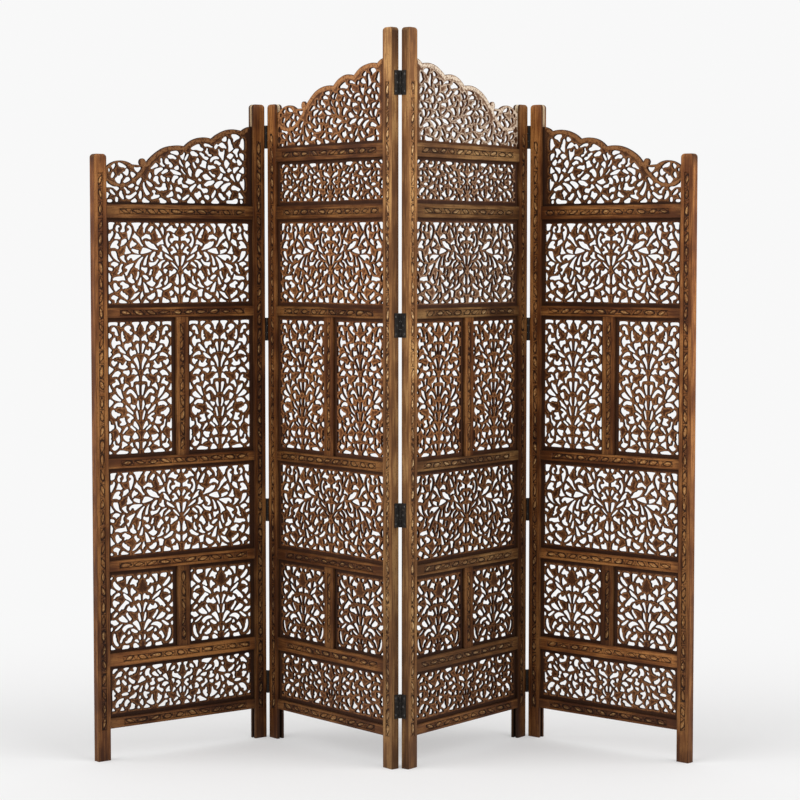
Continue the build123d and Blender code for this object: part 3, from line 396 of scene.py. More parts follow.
# Openings of the low fretwork, right half.
LOW = [
    # against the stem
    [(10,21.3),(13,21.5),(16,19.5),(19,16.5),(21.8,13),(20.5,11.3),(15,10.8),(8,10.8),(5.5,12),(6,15),
     (7.5,19)],
    [(14.5,30.5),(18,31.8),(21.5,30.5),(24.5,27.5),(27.3,24),(26.5,21),(23.5,20.8),(20,22.5),(15,24.5),
     (12,26.5),(12.3,28.8)],
    [(14.5,47),(17,48),(18.5,46),(18.5,41),(17.5,36.5),(14.5,34),(11,30.8),(7.5,29.3),(5.8,30.5),(8,34),
     (10.5,38),(12.5,43)],
    [(4,57.5),(6.5,58),(8.3,56),(9.8,52),(9.2,47.5),(7.5,43),(5.5,40.5),(3.5,41),(2.3,45),(2.3,52),(2.8,56)],
    [(11,75.5),(15,76),(18.5,74.5),(20,71.5),(18,69),(15,68),(13.5,66),(15,63.5),(18.5,61),(20,58.5),
     (17.5,55.8),(14.5,55.8),(11,58.5),(7.5,62),(4.5,65.5),(5.5,69.5),(8,73)],
    [(25.5,99.5),(28,100.5),(30.5,98.5),(32,94.5),(31.5,89.5),(29,86.5),(24,84),(17,82),(12,80),(8,77),
     (5,75.8),(2.5,76.5),(2.5,80.5),(5,84),(9,87.3),(12.5,91.5),(16,93.3),(21,93.5),(24.5,95)],
    [(4.5,120.5),(10,120.8),(15,120.3),(16.5,117.5),(14,114.5),(11.8,111),(11.5,107),(13.5,103.5),(17.5,101),
     (17,98),(13.5,96),(10,96.5),(8.5,99.5),(8.3,103),(6.8,107),(7,110.5),(5,112.5),(3,115),(3,118.5)],
    # middle of the first fan
    [(24,57.8),(27,58),(28,55),(29.5,51),(30.5,47),(28.5,44.8),(26,46.5),(23,49),(19.5,51.5),(20.5,54.5)],
    [(26.5,80.5),(30,81.5),(32.8,80.5),(31.5,77),(29,72.5),(27,68.8),(25,69.3),(23.5,72.5),(22.7,76),
     (24,79)],
    [(22.5,113.5),(25.5,114),(29.5,112),(33,108.5),(36,103.5),(35.5,101.3),(32,101.8),(27,103),(23.5,104.5),
     (21,107.5),(21,111)],
    [(33.5,120.8),(40,121),(46.5,120.8),(49,118.5),(48,113),(47.3,107),(46.5,102.5),(44,101),(42,103),
     (40,108),(36.5,113.5),(32.5,117.5),(31.5,119.5)],
    [(60,121.5),(68,122.3),(78,122.3),(86,122),(90.5,121),(90,118.5),(86,115),(82,111.5),(78,110),(73,111),
     (66,113.3),(60,114),(57.5,116),(57.8,119.5)],
    [(48.5,96),(51.5,97),(55,96),(58.5,93.5),(60.5,91),(58,88.5),(52,84.5),(47,80),(43.5,77.8),(41,78.5),
     (42,83),(44,88),(46,92.5)],
    [(72,108.5),(75,109),(76.3,106.5),(74,103.5),(71,99.5),(68,95.5),(65,94.3),(62.5,95.5),(61,98),
     (63.5,100.5),(67,102.5),(69,106)],
    [(81,105.3),(84,105.8),(88,104.3),(91.5,102),(91,99.5),(88,96.5),(83,93.5),(77,91.5),(71.5,90.2),
     (69.5,91.3),(71.5,94.5),(75.5,98),(78.5,102)],
    [(44,73.5),(48,75),(54,75.3),(58,73.5),(61,70.5),(62.8,67),(61,65),(57,64.5),(54,62.3),(51,62.2),(48,65),
     (44,67),(40.5,68.5),(40.5,71)],
    [(55,82.3),(60,85),(66,86.3),(72,86.5),(75.5,84.5),(75,81),(72.5,77.5),(69.5,75.5),(64,76.5),(58,78),
     (53.8,79.8)],
    [(38,61.8),(42,62.3),(45.5,60),(48.5,57),(50.8,53),(50,49.5),(46.5,47.3),(42,48),(37,47.8),(35.8,49.5),
     (38.3,53),(37.8,57)],
    [(69,70.3),(72.5,70.2),(75.5,67),(78,62),(77.5,58.5),(73,55.5),(67.5,52),(63.5,48.3),(60,47.5),(57.5,50),
     (56,53.5),(58,56.5),(62,58),(66.5,59.5),(69,63),(69,67)],
    [(83.5,88),(88,88.3),(92,88),(92.3,84.5),(90.8,81),(92.5,79),(96,78),(98,75.5),(96.5,72.5),(92.5,69.8),
     (87,69),(82.5,70.2),(80.5,72.5),(81,76),(83.5,79),(84.3,82.5),(83,85.5)],
    [(83,64.8),(88,65.3),(94,65),(95.8,62.5),(95,58),(92.5,55.6),(89.5,56),(85,58.5),(82.3,61.5)],
    # along the foot
    [(34.5,30.5),(38,30.8),(40.5,30),(39.5,26),(38.3,21.5),(39.5,17),(40.3,13),(38,11.5),(32,11.3),(29,12.5),
     (29.5,16),(32,19.5),(34,24),(33.8,28)],
    [(47.5,44),(50.5,44.8),(53,42.5),(54,38),(55,33),(53,31.3),(48,31),(44,31.5),(41.5,33.5),(43,36),
     (46,39)],
    [(46,26),(50,27.3),(54,26.8),(59,23.5),(64,20.8),(70,17.3),(74.5,13.8),(73,12.2),(66,12),(57,11.8),
     (52,12.3),(51,15.5),(50,19),(46,20.5),(43.5,22.3),(43.8,24.5)],
    [(70.5,47.3),(74,47.5),(75.3,44.5),(74,41),(75.5,37.5),(76,34),(74,31.5),(77,28),(78.3,24.5),(76.5,21),
     (72.5,20.8),(68.5,24),(64.5,28.5),(61.5,33),(60.5,37),(62,40.5),(67,42)],
    [(88.5,46.5),(91,47),(93,45.5),(94,41),(97,36.5),(102,33.5),(106.5,31),(107.5,28.5),(104,26),(99.5,23),
     (94,20.5),(89,19),(85,19.3),(82.5,21.5),(83.3,25),(85.5,29),(87.5,33),(88,39)],
    [(108,24),(111,22.5),(113.5,19.5),(116,16),(115,14),(110,13.3),(102,13.3),(97.5,14),(96.5,15.8),
     (99.5,18.5),(103.5,21.5)],
    [(130,22),(133,21.5),(134.8,18.5),(134.5,15),(132,14),(127.5,14),(125.5,15),(127.3,18.5)],
    [(149,31.5),(152,31.5),(153.5,28),(153.5,24),(155.5,20.5),(158,16.5),(157,14.3),(150,14),(144,14.3),
     (141.8,17),(141.5,21),(140.5,24.5),(143,26.5),(146,27.5),(147.5,30)],
    [(177,23),(180,22.8),(182.5,19.5),(185,15.5),(183.5,13.5),(178,13.3),(173,13.5),(171.8,15.3),(174,19)],
    [(205,23.3),(207.3,22.5),(208.5,18.5),(207,15.8),(203,15.3),(199.8,16),(200,18),(202.5,20.5)],
    # between the fans
    [(99,53),(104,54.3),(108,55.5),(111.5,57.8),(115,57.8),(117,54.5),(117,49),(114.5,43.5),(111,39),
     (107,36.8),(103.5,37.5),(103,40),(105.5,43),(106,46),(103,48.5),(99,49),(97.5,51)],
    [(105,79),(108,78.8),(110.5,74.5),(112,69.5),(111.5,64),(109.5,60.5),(106.5,59.2),(103.5,61),(101,64.5),
     (99.5,68),(101.5,71.5),(103.5,76)],
    [(96,114),(100,116),(104,115.8),(108.5,113),(111.5,108.5),(112.3,103),(111,98),(108,95.5),(104,96),
     (101,97.5),(99.5,93.5),(98,90),(95,88.8),(92,90),(91.8,93),(95,96),(97.5,100),(98,105),(96.5,109),
     (94.5,111.5)],
    [(110.5,121.5),(116,122.3),(122,122),(124.3,119),(126,114.5),(124.5,112),(121,111.8),(116,114),
     (111,116.5),(109,118.5)],
    [(119,107.3),(123.5,107.5),(126.5,105.5),(127.2,102),(125,99.8),(122.5,100),(120.5,103),(118.2,105.5)],
    [(117,97),(121,97.3),(125,95.5),(127.5,91.5),(130.5,86.5),(133.3,82.5),(132,80),(127,80),(120,82),
     (113.5,84),(109.5,85.8),(109.5,88),(113,91.5)],
    [(119,73.5),(121.5,72.5),(125,68),(128,62.5),(129.3,58),(127,55.5),(123.5,55.5),(120.5,58.5),(120,63.5),
     (117.8,68.5),(117.2,72)],
    [(119.5,37.8),(122.5,37.8),(125.5,35),(128,31.5),(127.5,28),(124,26),(121,22.5),(118,20.5),(116,22.5),
     (116,27),(116.8,33)],
    [(125,47),(128.5,47),(130.8,44),(130.5,40.5),(128,38.3),(125,38.5),(123.3,41.5),(123.3,45)],
    # outer fan
    [(136,121.5),(141,122.5),(145.5,121.8),(146.3,118),(144.3,114.5),(144.8,111),(148,110.5),(152,111.5),
     (156.5,113),(160,110.5),(161.3,106),(159.5,102.5),(155.5,101),(151.5,103),(147.5,102.3),(145.5,104.5),
     (141,105.5),(137.5,108.5),(136,113),(134,117)],
    [(158.5,122.5),(164,123.5),(170,123.5),(174,122.5),(174.5,119.5),(171,116.5),(168.5,113),(166,112.3),
     (163.5,114.5),(160.5,117.5),(157.5,120)],
    [(192,122.8),(198,123.5),(204,122.8),(206.5,119),(206.8,113.5),(204.8,110.8),(202,111),(198.5,114),
     (194.5,117.3),(191.3,120)],
    [(178,113.5),(182,115.2),(187,114.3),(192,110.5),(196,105.5),(199.5,100.5),(199.5,98),(196.5,98.3),
     (192,100.5),(187,101.7),(181.5,101.5),(179,104),(178.5,108),(176,110)],
    [(168.5,103),(171.5,103.3),(173.5,101),(172,97.5),(169.5,95),(166.5,94),(165.5,95.5),(166.5,99.5)],
    [(156,97),(159,97.2),(161,94.5),(160,90.5),(157,86.5),(153.5,83),(149,80.3),(145,79.2),(141,80),
     (139.5,83.5),(140,86.5),(143.5,87.8),(147.5,90.5),(151.5,92.5),(154,95)],
    [(176,93),(179,92.5),(180.3,89),(178,85.5),(174.5,81.5),(171,78),(167.5,77),(164.5,78.5),(164,81.5),
     (166.5,85),(170.5,88.5),(173.5,91.5)],
    [(187.5,94.7),(190.5,95),(193.5,92),(196,87.5),(196.5,83.5),(193.5,81.6),(187.5,81.7),(184,82.7),
     (184.2,87),(185,92)],
    [(131,75),(136,75.3),(142,74),(147,73),(148,70.5),(145,66.5),(142.5,63.2),(139.5,62.8),(136,64.5),
     (132,68),(128,71.5),(128.5,74)],
    [(153,78),(158,78.8),(161,77.5),(161,72),(160,67),(162,63.5),(162.3,60.5),(159,59.3),(155.5,59.8),
     (153.8,62.5),(155,66.5),(154.5,70),(151.5,73.5),(151,76)],
    [(183.5,76),(187.5,77),(191,75.5),(196,75.5),(199,73.5),(198,70),(194.5,66),(191.5,62),(188.5,60.5),
     (185,62.5),(182.8,65),(184.5,68),(183.8,71.5),(182,74)],
    [(204.5,71.5),(206.8,69.5),(207.3,62),(207.3,50),(207,43.5),(204.5,41),(201.5,42.5),(197.5,45.8),
     (196.5,49),(199.5,51),(202,54),(199.5,57),(196.3,59),(198.5,62.5),(201.5,66.5)],
    [(160,56.5),(164,59.3),(170,59.8),(176,59),(180.7,57),(180.3,54),(176,52),(170,51.3),(163,51.7),
     (159,53.3)],
    [(136.5,57),(139,57.3),(143,53.8),(148,51),(153.5,48.5),(158,45.8),(159,43.5),(156.5,41.8),(152,41.5),
     (149,42.8),(145,41.8),(140.5,42.5),(137.5,46),(135.3,50),(135,54)],
    [(172,44.5),(176,46.5),(183,46.3),(189,43.8),(194,39.5),(197.5,34),(199.2,28.5),(198,24),(194.5,22.3),
     (190.5,22.5),(188,25),(189,28.5),(187.5,31.5),(183,31.8),(180,33.5),(177.5,37),(174,41)],
    [(162.5,41.5),(165,42.3),(168,40.5),(171,36.5),(172.7,31.5),(172.3,26.5),(170,22.8),(166.5,22.2),
     (163.5,24),(162.5,27.5),(160,30.5),(157,32.3),(156,34.5),(158,38)],
]

# Openings of the crest, from the low stile's inner edge and the top of the rail. They don't mirror.
CREST = [
    [(27,101.3),(29.5,101.3),(31,99),(30,95),(27.5,90.5),(25,87.6),(23,88),(21,91),(19.3,94),(20,96.3),
     (23.5,99)],
    [(11,88.5),(14,88.5),(15,85),(14,81),(11.5,81),(10.5,84.5)],
    [(39.5,104),(43.5,104.2),(49,102.6),(54,100.4),(59,97.5),(63,94),(62.5,91.3),(59.5,90),(56.5,91.5),
     (52,92.5),(46.5,92.8),(41.8,95),(39,99),(38.3,102)],
    [(22.5,79.5),(25.5,80),(28,77.5),(29,74),(28,71),(25,67),(22,64.8),(19,65.5),(17.8,68),(18.7,71.5),
     (20.5,76.5)],
    [(45.5,75.5),(49,75.8),(51.5,73),(53,69.5),(51,65.5),(47.5,62),(46,57),(44.8,52.8),(41,51.5),(35.5,53.5),
     (31.5,57.5),(29.5,61.5),(31,64.8),(34.5,67),(37,70.3),(40,70.8),(43,70),(44.5,73)],
    [(62,88.5),(66,88.8),(69,86),(69.8,81.5),(69,76.5),(66.5,73),(62.5,71.7),(58,74),(54.5,76.8),(51.5,79),
     (54.5,80.8),(58.5,82.5),(60,86)],
    [(62,67.3),(67,68.5),(70.5,68),(72.5,65.5),(73.8,62.3),(71,59),(66,56.7),(61,54.7),(57,53.8),(53.5,55),
     (53.3,57.5),(56,61),(59,64.5)],
    [(75.5,80.5),(79,81.5),(83,80.3),(87,78),(90,74.8),(87,71.8),(83.5,68.3),(80,67.2),(77,69.5),(75.3,73.5),
     (74.3,78)],
    [(86,93.8),(90,93),(95,92.5),(100,93.5),(103.5,94.3),(104.8,92),(103,88),(98.5,82.8),(94.5,81),(90.5,83),
     (87,86.5),(84.8,90.5)],
    [(101,66.5),(104,67.5),(106.8,66),(106.3,63),(103.8,58.5),(101,53),(98,49.6),(93.5,49.3),(91,52),
     (91,56.7),(93.5,60),(98,64)],
    [(77,51.3),(81,51.8),(84.5,50.3),(84.8,47.5),(82.5,44.5),(78.5,42.3),(73,42.2),(68.5,43),(67.3,44.8),
     (69.5,47),(73.5,49.5)],
    [(89.5,44.8),(93,45.3),(97,44.8),(98.3,42.5),(96,39),(93.3,36),(90.3,35.3),(87.5,37.5),(86.5,41)],
    [(57,43.5),(61,41.8),(65,38.3),(67,35.3),(71,33.9),(73.2,31.3),(71.5,28.5),(66,27),(62.3,28.5),(61.8,33),
     (59.5,36.8),(56,39.5),(55.3,42)],
    [(4.5,56),(6.8,56.2),(9,52.3),(13,49.7),(18,47),(23,44.8),(30,43.3),(36.5,43.3),(41.5,40.3),(39.5,37),
     (36,33.8),(33,33.8),(28.5,37),(23,40.7),(16,42.2),(10,42.2),(4.5,42.2),(2.8,45),(3,51)],
    [(15.5,36.8),(18.5,36.8),(22.5,33.8),(26.5,29.6),(30,25.5),(30.2,23),(27.5,22.5),(21,25),(16.8,28),
     (14.3,32),(14,35)],
    [(4,29),(8.5,29),(11.5,26.5),(13.5,23.5),(11,21),(9.3,17.3),(7,14.3),(4,14.5),(2.7,17),(2.3,22),
     (2.3,26.5)],
    [(8,11),(12,11.3),(17,11.5),(20.5,11),(22,8.5),(20.5,5.5),(16,4.8),(10,4.8),(7.5,5.8),(6.8,8.5)],
    [(31.5,17.5),(35.5,17.8),(38.3,16),(39,13.5),(38.3,11),(38.8,8),(37,6),(32,5.8),(30,7.5),(29.5,11),
     (30,15)],
    [(45,33.8),(48.5,34),(51,31.5),(50.5,28),(53.5,23.5),(55.3,18),(56.5,14),(54,12.5),(50,13.5),(45.5,17),
     (41.8,21),(41,26),(42.3,31)],
    [(87,31),(91,31),(92.8,28.5),(90,24.5),(85,20.3),(79.5,16.5),(74.5,14),(69.5,13),(64.5,14.5),(61.3,17.8),
     (61,21),(64,22.8),(69,21.8),(73.5,22.8),(78.5,26),(83,28.7)],
    [(85,15),(87.5,15),(90.5,13),(93,9.5),(92,6),(85,5.5),(77.5,5.6),(74.8,7.5),(76.5,10),(81,12.5)],
    [(101,34),(104.5,34.2),(106.8,31),(107.3,24),(106.5,17.5),(104,14),(101,14),(98.8,16.5),(98.5,20.5),
     (96.5,22.8),(98.3,27),(99.8,31)],
    [(111.8,56.5),(114.5,56.3),(115.8,51),(118,44.8),(121.5,40),(125.5,35.2),(129.5,30.5),(131,28),(129,26),
     (125,24.5),(121.5,23.5),(118.2,26),(115.3,31),(112.5,36.7),(110.7,43),(110.2,49),(110.8,54)],
    [(112.5,17.3),(115.5,17.5),(119.5,14.3),(124.5,11.2),(130,8),(128,5.7),(119,5.4),(110,5.6),(107,8),
     (108,11.3),(110.5,14.5)],
    [(129.5,79.8),(132.3,79.8),(134.3,76.5),(135.8,72),(134.5,68.5),(132.5,64.5),(130.5,63.8),(127.8,66.5),
     (126,71),(127.3,76)],
    [(121,60.3),(123.5,60.3),(127.5,58),(132.5,56),(137,52.3),(140,48.8),(138,46.3),(134,45.2),(129.5,46.3),
     (125.3,49.5),(121.8,53.8),(119.8,57),(120,59.3)],
    [(146.5,104.8),(150,105),(153.5,102),(156,98.2),(153,95.3),(147.5,94),(141.7,91.5),(136.5,89.8),
     (132.5,90.3),(133,92),(138.5,97),(143,101.7)],
    [(162,93.7),(167.5,93.8),(170.5,92),(168.5,88.5),(163,85.2),(158,82.3),(154,78.8),(150.3,75.5),
     (145.8,75),(143.8,78.5),(143.7,84),(144.3,88),(149,90.5),(156,92.6)],
    [(163,118),(166.5,118),(168.8,114.5),(168.3,109),(169.8,105),(172.5,101.5),(176,99.3),(174.5,97),
     (170,96.5),(166,98),(162.5,100.5),(159.5,103),(161,105.5),(163,107.5),(162.3,111),(161.6,115)],
    [(177.5,90.6),(181.5,90.6),(184.5,88),(185,85.5),(182.5,83.3),(177.5,81.3),(172,79),(167.5,77.8),
     (164.8,79),(165,81.5),(170,86),(174.5,89.3)],
    [(146.5,71.8),(151,72.5),(155,71.8),(156.3,68.5),(155.5,63),(157.5,58.5),(160,54.3),(157.5,52.2),
     (152,53.3),(149,56.7),(145.5,59),(141.5,60.3),(140.7,63.3),(142.5,68)],
    [(163.5,74.5),(167,75),(170.5,71.7),(175,70),(177.5,67.5),(175.5,64.5),(176.5,61.3),(174,58.3),(170,59),
     (165.5,63),(162.5,67.5),(161.5,71.5)],
    [(182.5,68.5),(187,68.7),(189.5,67),(189.3,61.5),(187.5,59.3),(183.5,59.3),(181.7,62),(181.3,66)],
    [(168.5,54.3),(173,54.8),(177,54),(178,50),(178.3,46),(181,41),(179.5,37.8),(175,37.8),(170.5,35.5),
     (166,37),(160.5,35.5),(155,37.3),(149.8,40.3),(145.3,42.8),(147.5,45.3),(152,44.8),(157.5,43.5),
     (163,45),(166,48),(167,51.8)],
    [(191.3,51.3),(194,51),(196.5,46.5),(197.5,41.5),(195.5,38.5),(190.5,38),(187.8,39.8),(190,42.5),
     (191.3,45.5),(190.8,49)],
    [(138,36.3),(142,36.8),(146.5,36),(148.3,33.3),(146.5,29.8),(146.3,26),(151.5,24.7),(157,25.6),(160,23),
     (157,19.5),(150.5,17),(144,15.2),(138,14),(133.8,15.5),(134,18.5),(137.5,21.2),(140.5,24),(141.3,28.7),
     (138.3,31.5),(136.8,34)],
    [(192.5,33.5),(196,34.3),(198.5,31.5),(199.7,26.5),(198.8,23),(195.5,21.3),(190,20.5),(184,19),
     (180,19.3),(178,21.3),(180,23.8),(184,25.6),(187.5,29)],
    [(159.5,17.3),(165,17.5),(170.5,14.7),(176.5,11.5),(179,9.5),(178.5,6),(174.5,4.8),(166,4.6),(160.5,5),
     (159,8),(159.5,10.5),(157,12.5),(157.3,15.5)],
    [(190.8,17.3),(194.5,17.3),(201,14.8),(207.5,12.5),(214,9.8),(212.5,6.8),(206,5.8),(196,5.8),(193.3,8),
     (191.5,12),(189.8,15)],
    [(178,117.5),(182.5,117.5),(186,114.5),(187,110.8),(191,108.5),(195,105.5),(198,102),(199,99),(196.5,96),
     (191.5,95),(187.5,96.3),(187,99.5),(188.8,102),(187.5,103.8),(183,103),(178.5,103.8),(175.3,107),
     (175.3,112),(176.3,115.7)],
    [(208,98.8),(212,100.3),(215.5,99.5),(217.3,96),(217,92),(214,89.8),(208,89.8),(203.5,91.5),(202.3,94),
     (204.5,96.8)],
    [(191,89.8),(196,89.7),(202,89),(208.5,87.3),(214.5,84.6),(219.5,82.5),(224,79),(221.5,77),(214,77),
     (206,78),(200.5,78.8),(197.3,81.7),(193.3,85),(190,88)],
    [(201.5,74.7),(206,75),(211,74.8),(215.3,73),(214.5,70),(211,67.3),(207,65),(204.5,61),(203.5,57),
     (200.5,55.8),(197,57.5),(194.8,60.5),(195,64),(197,67.5),(199,71.8)],
    [(220,70),(225,70.3),(228.8,67.5),(227,64.5),(225.5,61),(226.3,57),(230,53.5),(236,52),(242,50),(245,47),
     (242.5,44.8),(236,44.3),(229.5,44.5),(226.5,47),(225.5,51.5),(223,54.3),(219,53),(215.5,52),
     (213.3,54.8),(212.3,59.5),(213.5,64),(216.5,67.5)],
    [(208.5,45.5),(214,45.5),(219,44),(223.5,41.5),(226,38),(226.3,33),(224.5,30.3),(221.5,31.5),
     (217.5,34.2),(212,34.5),(208,35),(206,38),(206,42.5)],
    [(212.5,28),(215.5,27.8),(219.5,24.8),(223,20.5),(222,17),(218.5,15.3),(214.5,16.5),(211.8,19.5),
     (210.5,23),(210.8,26.3)],
    [(218,114.8),(220.5,114.8),(222.8,111),(225,106),(227.8,102),(230,99.3),(229,97),(226.5,97.5),
     (222.5,100.5),(219,104.3),(217.3,108),(217,112)],
    [(223,92.3),(226,92),(228.5,88.3),(232,84),(236,80.5),(237,78.3),(234,78),(229,81.5),(225,85.5),
     (222.3,89)],
    [(240,111),(244.5,111.2),(248.3,108),(251,104),(248.5,101),(243.8,97.8),(241.5,94.3),(239,93.5),(237,96),
     (235.7,100.5),(235.7,105),(237.3,109)],
    [(246,95),(250,95.2),(252.5,92),(255,88.5),(256,85),(254.8,80.5),(254.5,76.5),(254,73.5),(251.5,73.5),
     (248.5,75.8),(246,79.5),(244,84),(243.8,90),(244.3,93.5)],
    [(259,110),(262,110),(264.3,106.5),(267,101.5),(269.3,97.5),(267.5,95),(263.5,95),(260.8,98.5),
     (258.8,103),(257.8,107)],
    [(273.5,93),(279,93.2),(285,91),(289.3,87.5),(286.5,85.2),(282,83),(279,78.3),(275.5,74.5),(270.5,71.8),
     (266.8,73.3),(265.3,78.5),(266.8,84.7),(269.7,89.7)],
    [(287.5,114.8),(292,114.8),(297,112.8),(300.3,110),(298.3,105.5),(297.8,100),(297,95.8),(292.5,96),
     (286,98),(280.5,99.8),(279,102.2),(282,105),(284.5,108),(285.5,112)],
    [(305.5,103.7),(309,103),(312,101.8),(317.5,102.7),(323,101.7),(327,99),(328.8,96.7),(325.5,95.6),
     (319.5,95),(315,94),(311,91.8),(306.5,91),(303,93.2),(302,97),(302.8,101)],
    [(307,87.5),(311,87.3),(315.5,83),(320,80.3),(324.5,79.8),(326.8,76.8),(325.5,73.7),(321,73.3),
     (316,76.3),(312,79.5),(308.3,83),(305.6,85.7)],
    [(294.5,80.5),(298.5,81.3),(304,77.8),(309,74),(315,69.8),(313,67.2),(307,66.3),(300,65.8),(294.5,66.3),
     (291,68.8),(287.5,73.5),(286.8,76.5),(290,79)],
    [(275.5,68.5),(280,68.5),(283.3,66),(284.3,63),(282.5,61.5),(278.5,62),(275,63.5),(273.3,66)],
    [(242,68.3),(245.5,68),(250,66.8),(255.5,64.8),(261,62.5),(264.8,60.3),(260.5,57.3),(256,55.2),
     (249.5,53.8),(242.5,55),(237,57.5),(236,59.5),(239.5,62),(241.3,64.5)],
    [(263,54),(267.5,54.5),(269,52.5),(266.5,49),(263.5,45.3),(259.8,41),(256.3,37.4),(254,34),(251.8,32.8),
     (249.5,36.5),(246.8,41),(248,44.5),(252.5,48),(258,51)],
    [(276.5,53),(280,54.3),(283,52),(283,48.5),(285.5,44.5),(289.5,42.8),(295,43.2),(300.5,43.2),
     (303.5,40.5),(303.8,36),(301,33.5),(296,33),(291.5,31),(288.8,32.3),(286,36),(282.5,40),(277,42.8),
     (271.3,44.8),(270.8,47.5),(273.5,50.7)],
    [(275,36),(279.5,35.8),(282,32),(283.5,27),(284.5,23.3),(280.5,20.8),(277,19.5),(275.5,16.3),(271.5,16),
     (267,20),(262.8,25),(262,28.8),(265,31.8),(270,31.5),(272.7,33.8)],
    [(241,26.3),(245.5,26.8),(248,24.8),(245.5,21.3),(240.5,17.8),(235.5,14.5),(230,13),(226,13.2),
     (225.5,16),(229.5,20),(234,22.3),(237.5,25)],
    [(250.5,20.5),(253.8,20.5),(258,15.8),(263,11.3),(264.8,8),(262.5,5.8),(252,5.5),(242.5,5.8),(240.2,8),
     (243,12),(247,16.2)],
    [(284.5,13.3),(289.5,13.5),(292.5,11),(294.3,7),(292.5,5.3),(286,5.3),(282.5,6.3),(281.3,9.5)],
    [(293.5,26.5),(299,26.5),(304,27),(307.5,24.5),(308,19),(306,15.3),(302,14.5),(297,16.8),(293.5,20.5),
     (291.5,24)],
    [(324,19.8),(328,20.3),(331.5,15.7),(335.8,11.3),(337.8,8),(335.5,5.8),(325,5.6),(315.5,5.8),(313,8),
     (316.5,12),(320.5,15.5)],
    [(322.5,39.3),(326.5,39.5),(328.5,37),(327,31.5),(324,26),(321.5,21.8),(318,19),(314.5,19.8),(313,23.5),
     (314.8,28),(317,32),(320.3,35)],
    [(314,64),(318.5,65),(323,63.8),(323.8,61),(321,58),(317,54.5),(312,52.3),(307,52),(302.5,49.5),(297,49),
     (292,51),(291.5,54),(296,57.5),(300.5,60.8),(307,63.2)],
    [(337,62.8),(344,63.5),(350,62.3),(351.5,60.3),(348.5,57.3),(343.5,53.8),(339.3,50.2),(335,46),(331,44),
     (326.5,45.8),(322.5,50),(322.8,54),(327.5,58.8),(332,61.3)],
    [(364,58.5),(370,59.5),(374,57.5),(371.5,54.5),(366.5,51.5),(362,47.3),(358.5,42.3),(355,38.5),
     (351,36.5),(346.8,37),(346.5,40.5),(344.8,43),(342.5,46),(345,49.3),(350,53),(356.5,56.3)],
    [(341,82.8),(345,83.3),(350.5,80.3),(348.5,77),(347,73),(344,68.8),(339.5,67.3),(334.5,67.8),
     (331.5,70.3),(334,74),(337.8,77.5),(339.7,81)],
    [(340,100.5),(344.5,100.5),(349,97.5),(352.3,93.8),(355,89.5),(358.7,85.5),(356.5,84),(350,84.8),
     (344.5,87),(341,90.2),(339.5,94.5),(338,98)],
    [(353.5,73.5),(358,73.8),(363,70.5),(369,67),(368.5,64),(363,63.3),(356.5,64.8),(351.5,65.8),
     (350.2,68.5),(351,71.5)],
    [(357,118.5),(362,118.5),(366.5,114.3),(370,109.8),(367.8,105.5),(365,101.3),(361,96.8),(358,97.3),
     (355.3,102),(353.3,106),(353,111.5),(354.7,115.8)],
    [(366.5,98.3),(370,98.3),(373,95),(377,91.5),(372.5,89),(368.5,86.5),(365,86.3),(362.3,88.8),
     (362.8,92.5),(364.5,96)],
    [(385,99),(391,100),(397,101),(400.3,99),(397.5,95.5),(393,91.5),(389.3,88),(387,84.5),(383.5,84),
     (380,87),(380,92),(380.8,97)],
    [(409.5,101.5),(412.3,101.5),(414.3,97),(414.8,89),(413.8,84.2),(409.5,84.5),(404.5,86),(399.5,88),
     (399.8,91),(403.5,94.5),(407,98)],
    [(375,82),(378.5,82),(381,78),(383,73.5),(384.3,69),(387,63.5),(385.5,61.3),(381,65),(376,68.3),
     (372.5,71.8),(370.5,75.5),(372,79)],
    [(394,83),(399,83.5),(403.5,82.5),(406,80.3),(403.8,76),(402,70.5),(398.8,65.5),(395.7,63),(392.5,65),
     (390,69),(389.8,74.5),(391.5,79.7)],
    [(403,63.5),(407,63.5),(409.5,65.5),(410.5,70),(413.5,70),(415.3,66),(415.8,58),(415.5,48),(414.5,41),
     (412,41),(409,45.8),(405.5,50.3),(402.8,54.8),(400.7,59),(401,62)],
    [(379,52),(384,52.3),(389,51),(393.5,48.5),(398,46.8),(403,44),(403.3,41.5),(400,39.3),(395,38.3),
     (390.5,40),(386,41.5),(380.5,41.3),(375.5,42.5),(373.7,45.5),(375.5,49.5)],
    [(366,39),(369.5,40.3),(371.8,38),(374,35.5),(375.5,32),(372.5,29),(372,25),(369.3,22),(369.3,18.5),
     (367,17.3),(365.3,19),(365.8,23),(362,26.8),(358,30.5),(359,33.3),(362.8,36.3)],
    [(337,32.3),(341,32.5),(346,30.3),(349.3,26),(351,23),(355,21.3),(357,18.8),(354.5,15.5),(350,13.8),
     (345,15),(340,20),(336.3,25),(335.3,29.5)],
    [(386,18.7),(391,19),(394.5,16.5),(395,12),(393.5,8),(390,6),(380,5.8),(369,6.2),(361,6.5),(359,9.5),
     (360.5,13),(368,14),(376,14.3),(380.5,16.5)],
    [(398,34),(401.5,33.8),(405,30.3),(408.5,26.5),(412.5,21),(410,19.4),(404,19.2),(398.5,19.5),(396.5,22),
     (397.3,26),(396,31)],
    [(402,15.8),(406,15.8),(409.5,13.5),(410.5,10),(409,7),(405,6),(402,7),(401,11)],
    [(187,126.3),(192,127.2),(198,126.8),(203.5,124.3),(209.5,119.5),(208,116.5),(202.5,116.5),(197,118.3),
     (191,117.5),(186,118.8),(183.7,121.5),(184.3,124.5)],
    [(197,136.2),(203,137.3),(209,137.7),(213.5,137),(216.5,133.5),(216.8,130),(214.5,127.5),(209.5,126.7),
     (203,128.5),(196.5,130),(191,132.3),(192.5,135)],
